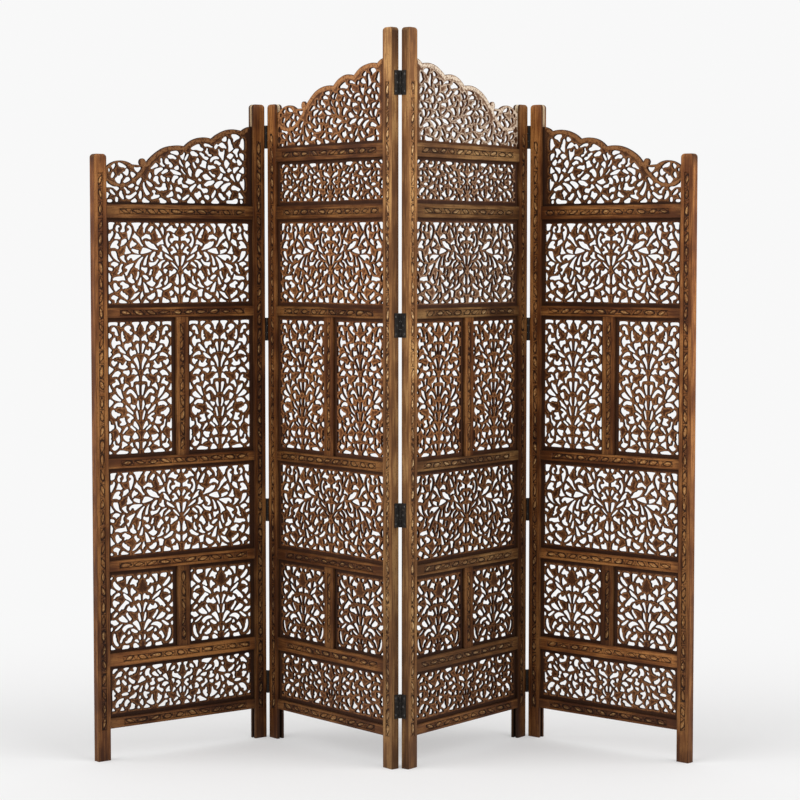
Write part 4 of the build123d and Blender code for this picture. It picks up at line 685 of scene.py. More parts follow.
    [(230.5,133.5),(233.5,133.5),(235,130.5),(232.5,123.5),(230.8,117),(228.5,114.8),(225,117),(221.5,121.5),
     (221,125.5),(225.5,127.3),(228.5,130)],
    [(241.5,130),(245.5,130.8),(246.8,128.5),(244,122.5),(241,117.3),(238,113.5),(234.3,113.5),(233.3,116.5),
     (236,122.5),(238.8,127.3)],
    [(272.5,155.8),(277,156.5),(280,154.5),(281,151),(284.5,148.5),(289.5,146.5),(291,144),(288.5,140.5),
     (282,138.8),(275,139.8),(267,141.5),(258.5,140.7),(253,143.3),(254,146.5),(260,150),(266.5,153.5)],
    [(293,158.5),(298,159),(303,158.3),(309.5,156.3),(315,153),(319.5,151),(317.5,149.3),(313,149.7),
     (307,150.8),(302,152.5),(297,151.2),(293,153),(291.3,156)],
    [(253.5,137),(258,137.7),(263,137),(268.5,134),(273.5,130),(275,127),(270,124.8),(263.5,125.8),
     (256.5,126.3),(252.3,130.5),(250.8,134.5)],
    [(270.5,120.3),(274.5,120.8),(277.5,117.5),(278.3,113),(276.5,109),(273,107.5),(269,109),(265.8,112),
     (268,115)],
    [(279.5,134.3),(284.5,134.8),(290,132.3),(294,129.3),(294.3,125.5),(299.5,124.8),(304.5,123),
     (306.3,120.5),(303,117.3),(298,116),(293,118.3),(288.5,121.8),(284,126.3),(277.8,131.5),(277.5,133.3)],
    [(299.5,147),(302.5,147.5),(304.8,146),(304,142.5),(303.5,140),(306,137.5),(306,133.5),(310.5,131.5),
     (315.5,130),(315.5,127),(311,126.3),(305.5,126.8),(302,131),(298,134.3),(295.5,137),(296,140),
     (298.8,141.8)],
    [(314,122.5),(320,125.3),(327,126.8),(333,126.3),(338.5,122.8),(336.5,120.3),(330,119.5),(325,118.7),
     (320.5,116.5),(317,113),(313.5,110.8),(310,111.5),(309.5,115),(311,119)],
    [(326,115.3),(331,116),(336,114.5),(340,111.8),(344.3,109),(341.5,105.5),(337,103.3),(333,105.3),
     (329,107.8),(324.5,106.8),(322.3,108.8),(323.3,112.5)],
    [(329.5,158),(332.5,158.7),(334,156),(333.8,151.5),(331.5,147.5),(328,145.2),(324.5,146),(322.8,149.5),
     (324,153.5),(326.5,155.8)],
    [(353,176.5),(357.5,178),(361,177),(361.8,172.5),(360.3,167),(356.5,165.5),(350,166),(346,168.8),
     (348,172.5)],
    [(342.5,161.5),(347,162.3),(351,161.3),(355,158.3),(358.7,154),(361.3,149),(359,147),(353.5,148.5),
     (346,148.5),(341.5,150.8),(336.8,154.5),(338.3,158.5)],
    [(367,172.5),(371.5,172.5),(374.5,167),(376,161),(379,157),(379.3,153),(382,149),(379.5,145.5),(375,142),
     (370.8,139),(367.3,138.3),(366.3,143),(366.5,154),(364.8,161),(365,168)],
    [(378.5,184.3),(385,184.7),(392,184.2),(398,181.5),(401.5,177.7),(398.5,174),(393.5,172.3),(388.5,169),
     (384,164.8),(381.7,166.5),(381.5,172),(378.5,175.7),(375.8,179.3),(376,182.5)],
    [(406,172.5),(409.5,175),(412.5,173.5),(414.3,167),(414.8,155),(414,146),(409.5,145),(405.5,149),
     (401.3,152.7),(398.8,156.8),(401.5,160.8),(402.8,165),(404,169)],
    [(388,147.8),(394,148.3),(399,147.3),(398,143.5),(395,139),(394.3,134.5),(396,130.5),(396.8,127.8),
     (394,126),(389.5,126.3),(388.3,130.5),(385.5,134),(381,137),(379,139.5),(381,142.8),(384,145.5)],
    [(369.5,134.5),(374,135),(378.5,133.5),(381.8,130.3),(379.5,126),(375,122),(371.3,119.8),(367,122.5),
     (361.5,125.3),(361.2,128),(365.5,132)],
    [(380,121.3),(384.5,121.5),(387.8,118.5),(389.8,113.5),(388,110.5),(384.5,111.5),(379.5,113),
     (377.7,115.5),(378,119)],
    [(394.5,120),(399.5,120),(404,116.5),(408.3,112),(407,107.5),(402.5,105),(396.5,105.2),(394.3,108.5),
     (392.8,113),(392.8,117.5)],
    [(401.5,136),(407,136),(411.5,134.5),(413.8,131),(413.8,124),(412.8,118.5),(410.5,118),(406.3,121.8),
     (402.5,126.3),(399.8,131),(399.7,134)],
    [(336,145),(339,145),(340.5,141),(343.5,138.2),(349,138.5),(351,141.5),(353,144.3),(354.8,142.5),
     (354.3,135),(352.8,127.5),(351.5,120.5),(349.8,117.3),(346,118.5),(342.5,124),(338.3,128.3),(336,132.7),
     (336.3,137.5),(335.5,142)],
]


# Sizes of the frame, in millimetres. BOARD is a board's thickness, SEAT how deep it sits in its grooves, and
# CREST_LOW and CREST_HIGH are the crest's height beside the low and the high stile.
LEAF = 508
STILE = 36
STILE_THICK = 22
RAIL_THICK = 20
MUNTIN = 38
CHAMFER = 1.0
DOME = 9
BOARD = 7.4
GROOVE = 8
GROOVE_DEPTH = 8
SEAT = 6.8
CREST_LOW, CREST_HIGH = 94, 207
MID = STILE_THICK / 2
RAIL_SET = (STILE_THICK - RAIL_THICK) / 2
INSIDE = (STILE, LEAF - STILE)
BAYS = ((STILE, (LEAF - MUNTIN) / 2), ((LEAF + MUNTIN) / 2, LEAF - STILE))

# Heights of the rails and of the openings between them, from the legs up
LEG = 80
CREST_RAIL = 35
HEIGHTS = {
    "bottom_rail": 26, "base": 131, "base_rail": 34, "short": 207, "short_rail": 28, "lower": 232,
    "tall_rail": 26, "tall": 353, "upper_rail": 26, "upper": 224, "frieze_rail": 35, "frieze": 114,
}
LEVELS = {}
level_top = LEG
for name, height in HEIGHTS.items():
    LEVELS[name] = (level_top, level_top + height)
    level_top += height
OUTER_CREST = LEVELS["upper"][1] + CREST_RAIL
INNER_CREST = LEVELS["frieze"][1] + CREST_RAIL
# How far the stiles rise above the crest beside them, and so their tops
OUTER_RISE, FOLD_RISE, CENTRE_RISE = 30, 57, 72
OUTER_TOP = OUTER_CREST + CREST_LOW + OUTER_RISE
FOLD_TOP = OUTER_CREST + CREST_HIGH + FOLD_RISE
CENTRE_TOP = INNER_CREST + CREST_HIGH + CENTRE_RISE

# Hinges: heights of their middles, and where the pin and the screws lie from a stile's edge and face
FOLD_HINGES = (148, 605, 1081, FOLD_TOP - 84)
CENTRE_HINGES = (156, 633, 1102, CENTRE_TOP - 135)
PIN_FROM_EDGE = 2.3
PIN_FROM_FACE = 2.4
PLATE_THICK = 2
SCREW_FROM_FACE = 8.1

# Where each leaf stands: pin position, turn in degrees, and the pin in the leaf's own frame
PLACES = {
    "left_outer": ((-332.819, 180.238), 37, (LEAF + PIN_FROM_EDGE, -PIN_FROM_FACE)),
    "left_inner": ((17.204, -195.209), -50, (LEAF + PIN_FROM_EDGE, STILE_THICK + PIN_FROM_FACE)),
    "right_inner": ((17.204, -195.209), 52, (-PIN_FROM_EDGE, STILE_THICK + PIN_FROM_FACE)),
    "right_outer": ((353.911, 192.225), -41, (-PIN_FROM_EDGE, -PIN_FROM_FACE)),
}

# Boards: mesh width, how much the knife widens an opening across and up, how far from an opening its
# distance counts, and the plain border
GRID = 1.8
KNIFE = (1.0, 0.25)
REACH = 9
BORDER = 10.5
# Bars: half width of the carved band, its least distance from the bar's edge, the flat beside it, spacing
# of its bosses, and its mesh width along and points across
BAND_HALF = 6.9
BAND_MARGIN = 6
BAND_FLAT = 0.8
BOSS_PITCH = 37
BAND_STEP = 1.7
BAND_POINTS = 15
# Wear and painted shade of a face's points from edge to edge, with a painted dark line along each chamfer,
# and the painted shade of a groove's points
FACE_WEAR_AND_SHADE = [0.6, 0.45, 1, 0.85, 0.85, 1, 0.45, 0.6]
GROOVE_SHADE = [0.35, 0.1, 0.1, 0.1, 0.1, 0.35]
# Value of the rub attribute that the finish shows as raw wood, painted near white as a highlight
RAW_AND_GLARE = 1.7
# Keeps a division off zero
TINY = 1e-9
# In metres
MILLIMETRE = 0.001

rng = np.random.default_rng(4)


def smoothstep(low, high, value):
    """Soft step of the values from 0 at low to 1 at high."""
    t = np.clip((value - low) / (high - low), 0, 1)
    return t * t * (3 - 2 * t)


def peak(value, at, width):
    """Bell curve of height 1 around a value."""
    return np.exp(-((value - at) / width) ** 2)


def leaf_matrix(leaf):
    """Leaf frame, in millimetres, to the standing screen, in metres."""
    pin, turn, own = PLACES[leaf]
    move = Matrix.Translation((pin[0], pin[1], 0)) @ Matrix.Rotation(math.radians(turn), 4, "Z")
    return Matrix.Scale(MILLIMETRE, 4) @ move @ Matrix.Translation((-own[0], -own[1], 0))


def wave(x, z, seed, size):
    """Slow smooth variation over a surface, between about -1 and 1."""
    local = np.random.default_rng(seed)
    total = np.zeros_like(np.asarray(x, float))
    for _ in range(6):
        angle, phase = local.uniform(0, 2 * math.pi, 2)
        pitch = size * local.uniform(0.6, 1.6)
        total += np.sin((x * math.cos(angle) + z * math.sin(angle)) * 2 * math.pi / pitch + phase)
    return total / 3.2


def add_piece(name, leaf, points, faces, values, material, nodes=(), sharp=40):
    """Mesh piece in a leaf's frame, riding on the leaf, with its per-vertex values."""
    points = np.array(points, float)
    faces = faces.tolist() if isinstance(faces, np.ndarray) else faces
    if leaf.startswith("right"):
        points[:, 0] = LEAF - points[:, 0]
        faces = [face[::-1] for face in faces]
    mesh = bpy.data.meshes.new(name)
    mesh.from_pydata((points * MILLIMETRE).tolist(), [], faces)
    for key, data in values.items():
        layer = mesh.attributes.new(key, "FLOAT", "POINT")
        layer.data.foreach_set("value", np.asarray(data, np.float32))
    mesh.polygons.foreach_set("use_smooth", np.ones(len(mesh.polygons), bool))
    mesh.set_sharp_from_angle(angle=math.radians(sharp))
    mesh.update()
    obj = bpy.data.objects.new(name, mesh)
    bpy.context.scene.collection.objects.link(obj)
    obj.matrix_world = leaf_matrix(leaf) @ Matrix.Scale(1 / MILLIMETRE, 4)
    mesh.materials.append(material)
    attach(obj, leaf + "_leaf")
    if nodes:
        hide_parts(*nodes)


# ---------------------------------------------------------------- pierced boards

def rounded_loop(points):
    """Smooth closed line through an opening's points, opened up a little by the knife."""
    p = np.array(points, float)
    before, after, beyond = np.roll(p, 1, 0), np.roll(p, -1, 0), np.roll(p, -2, 0)
    parts = []
    for t in (0, 0.25, 0.5, 0.75):
        parts.append(0.5 * (2 * p + (after - before) * t + (2 * before - 5 * p + 4 * after - beyond) * t * t
                            + (3 * p - before - 3 * after + beyond) * t ** 3))
    loop = np.stack(parts, 1).reshape(-1, 2)
    along = np.roll(loop, -1, 0) - np.roll(loop, 1, 0)
    along /= np.linalg.norm(along, axis=1, keepdims=True) + TINY
    out = np.stack((along[:, 1], -along[:, 0]), 1)
    area = np.sum(loop[:, 0] * np.roll(loop[:, 1], -1) - np.roll(loop[:, 0], -1) * loop[:, 1])
    if area < 0:
        out = -out
    return loop + out * np.array(KNIFE)


def resized(loop, size):
    """Opening made larger or smaller about its own middle."""
    return loop.mean(0) + (loop - loop.mean(0)) * size


def loop_distance(gx, gz, loop):
    """Distance from grid points to a closed line, negative inside it."""
    a, b = loop, np.roll(loop, -1, 0)
    d = b - a
    px, pz = gx[..., None] - a[:, 0], gz[..., None] - a[:, 1]
    t = np.clip((px * d[:, 0] + pz * d[:, 1]) / ((d * d).sum(1) + TINY), 0, 1)
    gap = np.sqrt(((px - t * d[:, 0]) ** 2 + (pz - t * d[:, 1]) ** 2).min(-1))
    spans = (a[:, 1] > gz[..., None]) != (b[:, 1] > gz[..., None])
    cross = a[:, 0] + d[:, 0] * pz / np.where(np.abs(d[:, 1]) < TINY, TINY, d[:, 1])
    inside = (spans & (gx[..., None] < cross)).sum(-1) % 2 == 1
    return np.where(inside, -gap, gap)


def board_field(xs, zs, loops):
    """Distance to the nearest opening over a board, negative in the openings, at most REACH."""
    field = np.full((len(xs), len(zs)), float(REACH))
    for loop in loops:
        low, high = loop.min(0) - REACH, loop.max(0) + REACH
        i0, i1 = np.searchsorted(xs, (low[0], high[0]))
        j0, j1 = np.searchsorted(zs, (low[1], high[1]))
        if i1 > i0 and j1 > j0:
            gx, gz = np.meshgrid(xs[i0:i1], zs[j0:j1], indexing="ij")
            field[i0:i1, j0:j1] = np.minimum(field[i0:i1, j0:j1], loop_distance(gx, gz, loop))
    return field


def cut_sheet(xs, zs, field):
    """Triangles that cover the wood, with edges that follow the openings.

    Gives the points, the triangles, and each point's distance to an opening and nearness to a vein.
    """
    step = xs[1] - xs[0]
    gx, gz = np.meshgrid(xs, zs, indexing="ij")
    slope_x, slope_z = np.gradient(field, step, zs[1] - zs[0])
    steep = slope_x ** 2 + slope_z ** 2

    # grid points close to an edge move onto it, which leaves fewer slivers
    inner = np.zeros_like(field, bool)
    inner[1:-1, 1:-1] = True
    near = (np.abs(field) < 0.32 * step) & (steep > 0.4) & inner
    gx = np.where(near, gx - field * slope_x / np.maximum(steep, 0.4), gx)
    gz = np.where(near, gz - field * slope_z / np.maximum(steep, 0.4), gz)
    value = np.where(near, 0.0, field)

    rows, cols = len(xs), len(zs)
    total = rows * cols
    at = np.arange(total).reshape(rows, cols)
    a, b, c, d = at[:-1, :-1], at[1:, :-1], at[1:, 1:], at[:-1, 1:]
    even = (np.add.outer(np.arange(rows - 1), np.arange(cols - 1)) % 2 == 0)[..., None]
    first = np.where(even, np.stack((a, b, c), -1), np.stack((a, b, d), -1)).reshape(-1, 3)
    second = np.where(even, np.stack((a, c, d), -1), np.stack((b, c, d), -1)).reshape(-1, 3)
    tris = np.concatenate((first, second))
    x, z, value = gx.ravel(), gz.ravel(), value.ravel()
    sign = np.sign(value)[tris].astype(int)
    positive, negative = (sign > 0).sum(1), (sign < 0).sum(1)

    def edge(p, q):
        """Code of the point where the opening crosses from p to q, or the end that lies on the line."""
        code = total + np.minimum(p, q) * total + np.maximum(p, q)
        code = np.where(value[q] == 0, q, code)
        return np.where(value[p] == 0, p, code)

    # triangles that an opening cuts keep one corner, or two and so a second triangle
    kept = [tris[(negative == 0) & (positive > 0)]]
    for turn in range(3):
        turned = np.roll(tris, -turn, 1)
        leading = np.roll(sign, -turn, 1)[:, 0]
        p, q, r = turned[(positive == 1) & (negative > 0) & (leading > 0)].T
        kept.append(np.stack((p, edge(p, q), edge(p, r)), 1))
        p, q, r = turned[(positive == 2) & (negative == 1) & (leading < 0)].T
        kept.append(np.stack((edge(p, q), q, r), 1))
        kept.append(np.stack((edge(p, q), r, edge(p, r)), 1))
    codes = np.concatenate(kept)
    codes = codes[(codes[:, 0] != codes[:, 1]) & (codes[:, 1] != codes[:, 2]) & (codes[:, 0] != codes[:, 2])]
    used, faces = np.unique(codes, return_inverse=True)

    on_grid = used < total
    px, pz, dist, vein = np.zeros((4, len(used)))
    px[on_grid], pz[on_grid], dist[on_grid] = x[used[on_grid]], z[used[on_grid]], value[used[on_grid]]
    cut = used[~on_grid] - total
    p, q = cut // total, cut % total
    t = value[p] / (value[p] - value[q])
    px[~on_grid] = x[p] + t * (x[q] - x[p])
    pz[~on_grid] = z[p] + t * (z[q] - z[p])
    ridge = (1 - smoothstep(0.45, 0.85, np.sqrt(steep))).ravel()
    vein[on_grid] = ridge[used[on_grid]]
    return np.stack((px, pz), 1), faces.reshape(-1, 3), np.maximum(dist, 0), vein


def board_shape(loops, x_range, z_range, outline=None):
    """Front sheet of a pierced board, within an outline if it has one."""
    steps = [max(2, round((high - low) / GRID)) for low, high in (x_range, z_range)]
    xs, zs = np.linspace(*x_range, steps[0] + 1), np.linspace(*z_range, steps[1] + 1)
    field = board_field(xs, zs, loops)
    if outline is not None:
        gx, gz = np.meshgrid(xs, zs, indexing="ij")
        field = np.minimum(field, -loop_distance(gx, gz, outline))
    return cut_sheet(xs, zs, field)


def hollows(dist, vein):
    """Depth of the carving inside the strands: a vein along each, and hollowed leaves."""
    return 0.6 * smoothstep(3.4, 5.2, dist) + 0.8 * vein * smoothstep(1.5, 2.6, dist)


def relief(dist, hollow, plain):
    """How far the carved surface lies below the board's face, with its round edges."""
    round_edge = 0.9 * (1 - np.sqrt(1 - (1 - np.clip(dist / 1.8, 0, 1)) ** 2))
    return round_edge + hollow * (1 - plain) + 1.0 * plain * smoothstep(0.5, 2.5, dist)


def board_piece(node, leaf, shapes, material, seed):
    """Closed carved boards from their front sheets, standing in for a CAD node of the leaf."""
    points, faces = [], []
    values = {"wear_and_shade": [], "rubbed_and_lit": [], "tone": [], "leafy": [], "comb": []}
    start = 0
    for flat, tris, dist, hollow, plain, stem in shapes:
        # the lines waver a little, and the back is carved as the front is
        loose = 1 - plain
        x = flat[:, 0] + 0.45 * wave(flat[:, 0], flat[:, 1], seed, 60) * loose
        z = flat[:, 1] + 0.45 * wave(flat[:, 0], flat[:, 1], seed + 1, 60) * loose
        low = relief(dist, hollow, plain) + 0.12 * (1 + wave(x, z, seed + 2, 17))
        points.append(np.stack((x, MID - BOARD / 2 + low, z), 1))
        points.append(np.stack((x, MID + BOARD / 2 - low, z), 1))

        # edges that only one triangle uses are joined from front to back
        n = len(flat)
        rim = np.concatenate((tris[:, (0, 1)], tris[:, (1, 2)], tris[:, (2, 0)]))
        key, back_key = rim[:, 0] * n + rim[:, 1], rim[:, 1] * n + rim[:, 0]
        rim = rim[~np.isin(key, back_key)]
        wall_a = np.stack((rim[:, 1], rim[:, 0], rim[:, 0] + n), 1)
        wall_b = np.stack((rim[:, 1], rim[:, 0] + n, rim[:, 1] + n), 1)
        faces.append(np.concatenate((tris, tris[:, ::-1] + n, wall_a, wall_b)) + start)
        start += 2 * n

        # dark at the openings' edges and walls and in the hollows, as stain with painted shade; the plain
        # border gets a painted shadow of the frame; the highest spots are rubbed pale, partly a painted
        # highlight
        worn_and_lit = smoothstep(0.1, 1.9, dist) * (1 - 0.6 * np.clip((hollow - 0.35) / 0.5, 0, 1))
        worn_and_lit = worn_and_lit * (1 - plain) + 0.06 * plain
        smooth = smoothstep(2.5, 4, dist) * (hollow < 0.02)
        values["wear_and_shade"] += 2 * [worn_and_lit]
        values["rubbed_and_lit"] += 2 * [smoothstep(0.75, 0.95, worn_and_lit) * (1 + 0.4 * smooth)]
        values["tone"].append(np.full(2 * n, TONES[leaf][node]))
        values["leafy"] += 2 * [smoothstep(2.0, 3.2, dist) * smoothstep(0, 0.5, hollow) * (1 - plain)]
        values["comb"] += 2 * [0.8 * flat[:, 1] + np.abs(flat[:, 0] - stem)]
    values = {key: np.concatenate(parts) for key, parts in values.items()}
    add_piece(leaf + "_" + node + "_fretwork", leaf, np.concatenate(points), np.concatenate(faces), values,
              material, [leaf + "_" + node], sharp=60)


def panel_shape(pattern, drawn_height, drawn_half, x_range, z_range, size=1):
    """Board with a mirrored pattern between two bars and two rails, its openings resized by size."""
    stem = (x_range[0] + x_range[1]) / 2
    widest = max(x for points in pattern for x, _ in points)
    stretch = (drawn_half / widest, (z_range[1] - z_range[0]) / drawn_height)
    loops = []
    for points in pattern:
        loop = resized(np.array(points, float) * stretch, size)
        loops.append(rounded_loop(loop + (stem, z_range[0])))
        loops.append(rounded_loop(loop * (-1, 1) + (stem, z_range[0])))
    seated = [(low - SEAT, high + SEAT) for low, high in (x_range, z_range)]
    flat, tris, dist, vein = board_shape(loops, *seated)
    x, z = flat.T
    inset = np.minimum.reduce((x - x_range[0], x_range[1] - x, z - z_range[0], z_range[1] - z))
    plain = 1 - smoothstep(BORDER - 3, BORDER, inset)
    return flat, tris, dist, hollows(dist, vein), plain, stem


def arc(start, middle, end, steps):
    """Points of the circular arc through three points."""
    a, m, b = (np.array(p, float) for p in (start, middle, end))
    d = 2 * (a[0] * (m[1] - b[1]) + m[0] * (b[1] - a[1]) + b[0] * (a[1] - m[1]))
    sa, sm, sb = (p @ p for p in (a, m, b))
    centre = np.array((
        (sa * (m[1] - b[1]) + sm * (b[1] - a[1]) + sb * (a[1] - m[1])) / d,
        (sa * (b[0] - m[0]) + sm * (a[0] - b[0]) + sb * (m[0] - a[0])) / d,
    ))
    radius = np.linalg.norm(a - centre)
    first, half_way, last = (math.atan2(*(p - centre)[::-1]) for p in (a, m, b))
    turn = (last - first) % (2 * math.pi)
    if (half_way - first) % (2 * math.pi) > turn:
        turn -= 2 * math.pi
    angles = first + turn * np.linspace(0, 1, steps)
    return (centre + radius * np.stack((np.cos(angles), np.sin(angles)), 1)).tolist()


# Scallops of the crest's top edge, from the high stile down: each arc's start, middle, end and point count
SCALLOPS = (
    ((436, 206), (420, 203.5), (405.5, 194.5), 10),
    ((405, 194.5), (358, 194.5), (314, 171.5), 14),
    ((313.5, 171), (273, 172.5), (231.5, 150), 14),
    ((231, 150), (167, 142.5), (120, 107), 20),
    ((118, 107), (108.5, 116), (102.5, 99), 16),
    ((78, 100), (43, 109.5), (4, CREST_LOW), 16),
)
# Plain band that sweeps down from the knob under the round lobe
LOBE_BAND = [(119, 104), (107, 85), (95, 73), (80, 60), (62, 49), (37, 45.5), (15, 53), (0, 61)]


def crest_shape(z_low, size):
    """Crest board: scalloped edge, openings and band, drawn from the low stile's inner edge and the rail."""
    corner = np.array((STILE, z_low), float)
    reach = INSIDE[1] - INSIDE[0] + SEAT
    edge = [(-SEAT, -SEAT), (reach, -SEAT), (reach, CREST_HIGH - 1)]
    for scallop in SCALLOPS:
        edge += arc(*scallop)
    edge = np.array(edge + [(-SEAT, CREST_LOW)]) + corner
    loops = [rounded_loop(resized(np.array(points, float) + corner, size)) for points in CREST]
    x_range = (STILE - SEAT - GRID, INSIDE[1] + SEAT + GRID)
    z_range = (z_low - SEAT - GRID, z_low + CREST_HIGH + GRID)
    flat, tris, dist, vein = board_shape(loops, x_range, z_range, edge)
    inset = np.minimum(flat[:, 1] - z_low, INSIDE[1] - flat[:, 0])
    plain = 1 - smoothstep(5, 8, inset)
    # a smooth rim under the scalloped edge, and the band, are each parted from the tracery by one cut line
    rim = np.where(inset > 12, loop_distance(flat[:, 0], flat[:, 1], edge) * -1, 99)
    band = loop_distance(flat[:, 0], flat[:, 1], np.array(LOBE_BAND + LOBE_BAND[::-1]) + corner)
    hollow = hollows(dist, vein) * smoothstep(12, 13.5, rim) * smoothstep(5, 6.5, band)
    hollow += 0.7 * peak(rim, 12.2, 0.9) * (dist > 1.2) * (band > 5)
    hollow += 0.6 * peak(band, 5.4, 0.9) * (dist > 1.2) * (rim > 12)
    return flat, tris, dist, hollow, plain, INSIDE[1]


# ---------------------------------------------------------------- carved frame bars

# Bar along x or z: low corner, section, length, grooves in its low and high edge, plain ends, round top,
# and the height above which no board fills the groove
Bar = namedtuple("Bar", "axis corner width thick length grooves plain domed bare", defaults=(False, 0))


def carving(s, t, half, seed):
    """Hand-cut band along a bar: depth, and rubbed tops that carry painted highlights too. s runs along it
    and t across, half to either side.

    Leaf-shaped bosses of uneven size and tilt stand between slanted cuts, within two edge lines.
    """
    count = max(1, round((s.max() - s.min()) / BOSS_PITCH))
    pitch = (s.max() - s.min()) / count
    local = np.random.default_rng(seed)
    depth, top = np.zeros_like(s), np.zeros_like(s)
    for k in range(count):
        centre = s.min() + pitch * (k + 0.5) + local.normal(0, 1.4)
        tilt = math.radians(local.choice((-19, -10, 0, 8, 17)) + local.normal(0, 3))
        long, wide = pitch * local.uniform(0.27, 0.4), half * local.uniform(0.55, 0.9)
        kind = int(local.integers(0, 5))
        du, dt = s - centre, t + local.normal(0, 0.25)
        u = du * math.cos(tilt) + dt * math.sin(tilt)
        v = -du * math.sin(tilt) + dt * math.cos(tilt)
        swell = {1: 0.4, 2: -0.4, 4: 0.25}.get(kind, 0.1)
        v = v * (1 + swell * np.clip(u / long, -1, 1)) + local.uniform(-0.5, 0.5) * (u / long) ** 2
        power = local.uniform(1.15, 1.7)
        r = ((np.abs(u) / long) ** power + (np.abs(v) / wide) ** power) ** (1 / power)

        # the boss and the cut around it, a vein or a cross cut in some, and a slanted cut at either end
        shape = 0.1 + 0.8 * smoothstep(0.6, 1.0, r) + 1.5 * peak(r, 1.1, 0.22)
        if kind == 3:
            shape += 1.3 * peak(v, 0, 0.8) * (1 - smoothstep(0.4, 0.6, r))
        if kind in (0, 4):
            shape += 1.1 * peak(u / long, 0.15, 0.12) * (v > -0.3 * wide)
        lean = local.choice((-0.45, 0, 0.45))
        for side in (-1, 1):
            gap = side * du - pitch / 2 + local.uniform(1.6, 3.6) + lean * dt * side
            shape += 1.2 * peak(gap, 0, 0.9) * smoothstep(1.1, 1.3, r) * (side * du > 0)

        # one narrow tick along the boss is painted pale, part wear and part painted highlight
        lift = local.choice((-0.35, 0.0, 0.35))
        bright = 0.12 + 1.1 * peak(v / wide, lift, 0.24) * (1 - smoothstep(0.5, 0.8, np.abs(u) / long))
        here = np.abs(du) <= pitch / 2
        depth = np.where(here, shape, depth)
        top = np.where(here, (1 - smoothstep(0.3, 1.1, shape)) * bright * local.uniform(0.4, 1.5), top)
    depth += peak(np.abs(t), half - 0.5, 0.7)
    depth = np.minimum(depth, 2.2) * (1 - smoothstep(half - 0.1, half + 0.7, np.abs(t)))
    return depth, np.minimum(top, 1.3) * (1 - smoothstep(half - 1, half, np.abs(t)))


def bar_section(width, thick, strip, grooves):
    """Closed section of a bar: its points, their wear and painted shade, and where the two flat strips for
    carving start.
    """
    low_slot, high_slot = (thick - GROOVE) / 2, (thick + GROOVE) / 2
    # where the painted dark line along a chamfer ends, and how deep a groove's lip goes
    line, lip = CHAMFER + 1.8, 0.3
    points, wear_and_shade, strips = [], [], []
    for back in (False, True):
        half = [(0, CHAMFER), (CHAMFER, 0), (line, 0), (width / 2 - strip, 0),
                (width / 2 + strip, 0), (width - line, 0), (width - CHAMFER, 0), (width, CHAMFER)]
        strips.append(len(points) + 3)
        wear_and_shade += FACE_WEAR_AND_SHADE
        if grooves[0 if back else 1]:
            half += [(width, low_slot), (width - lip, low_slot), (width - GROOVE_DEPTH, low_slot),
                     (width - GROOVE_DEPTH, high_slot), (width - lip, high_slot), (width, high_slot)]
            wear_and_shade += GROOVE_SHADE
        points += [(width - x, thick - y) for x, y in half] if back else half
    return np.array(points, float), wear_and_shade, strips


def bar_mesh(bar, seed):
    """One frame bar along z: points, faces, wear with painted shade, and rubbed tops with painted
    highlights.
    """
    width, thick, length = bar.width, bar.thick, bar.length
    centre = width / 2
    half = min(BAND_HALF, centre - BAND_MARGIN)
    strip = half + BAND_FLAT
    loop, section_wear_and_shade, strips = bar_section(width, thick, strip, bar.grooves)
    n = len(loop)
    on_side = np.minimum(loop[:, 0], width - loop[:, 0]) < 0.2

    # heights of the rows and how wide each is: the foot, the band's ends, and the top or its dome
    carved = (bar.plain[0], length - bar.plain[1])
    rows, scale = [0.0, *carved, length], [1.0] * 4
    if bar.domed:
        rows[3] = max(bar.bare, carved[1] + 1)
        for turn in np.linspace(0, math.pi / 2, 7):
            rows.append(length - DOME + DOME * math.sin(turn))
            scale.append((centre - DOME + DOME * math.cos(turn)) / centre)
    stain = [0.6, 1.0, 1.0] + [0.85 if bar.domed else 0.6] * (len(rows) - 3)

    points, faces, wear_and_shade, rubbed_and_lit = [], [], [], []
    for r, (z, k) in enumerate(zip(rows, scale)):
        x = centre + (loop[:, 0] - centre) * k
        y = thick / 2 + (loop[:, 1] - thick / 2) * (1 - 0.6 * (1 - k))
        points += np.stack((x, y, np.full(n, z)), 1).tolist()
        # the sides of the dome get painted shade
        shaded = np.where(on_side & (bar.domed and r > 3), 0.45, 1)
        # above the boards the open groove shows raw wood, painted near white as a highlight
        raw_and_glare = [bar.domed and z > bar.bare - 1 and w < 0.2 for w in section_wear_and_shade]
        wear_and_shade += [1.0 if bare else w * stain[r] * part for w, bare, part in zip(section_wear_and_shade, raw_and_glare, shaded)]
        rubbed_and_lit += [RAW_AND_GLARE if bare else 0.0 for bare in raw_and_glare]
    for r in range(len(rows) - 1):
        for k in range(n):
            if r != 1 or k not in strips:
                a, b = r * n + k, r * n + (k + 1) % n
                faces.append((a, b, b + n, a + n))
    faces.append(tuple(range(n))[::-1])
    faces.append(tuple((len(rows) - 1) * n + k for k in range(n)))

    # a grid of small faces takes the carving on the front and on the back
    steps = max(2, round((carved[1] - carved[0]) / BAND_STEP))
    along, across = np.linspace(*carved, steps + 1), np.linspace(-strip, strip, BAND_POINTS)
    s, t = np.meshgrid(along, across, indexing="ij")
    for back in (0, 1):
        cut, top = carving(s, t, half, seed + back)
        cut[0], cut[-1] = 0, 0
        start = len(points)
        points += np.stack((centre + t, thick - cut if back else cut, s), -1).reshape(-1, 3).tolist()
        # the cuts get dark stain with painted shade
        wear_and_shade += (1 - 0.95 * smoothstep(0.7, 1.9, cut)).ravel().tolist()
        rubbed_and_lit += top.ravel().tolist()
        for i in range(steps):
            for a in range(start + i * BAND_POINTS, start + (i + 1) * BAND_POINTS - 1):
                quad = (a, a + 1, a + BAND_POINTS + 1, a + BAND_POINTS)
                faces.append(quad[::-1] if back else quad)
    return points, faces, wear_and_shade, rubbed_and_lit


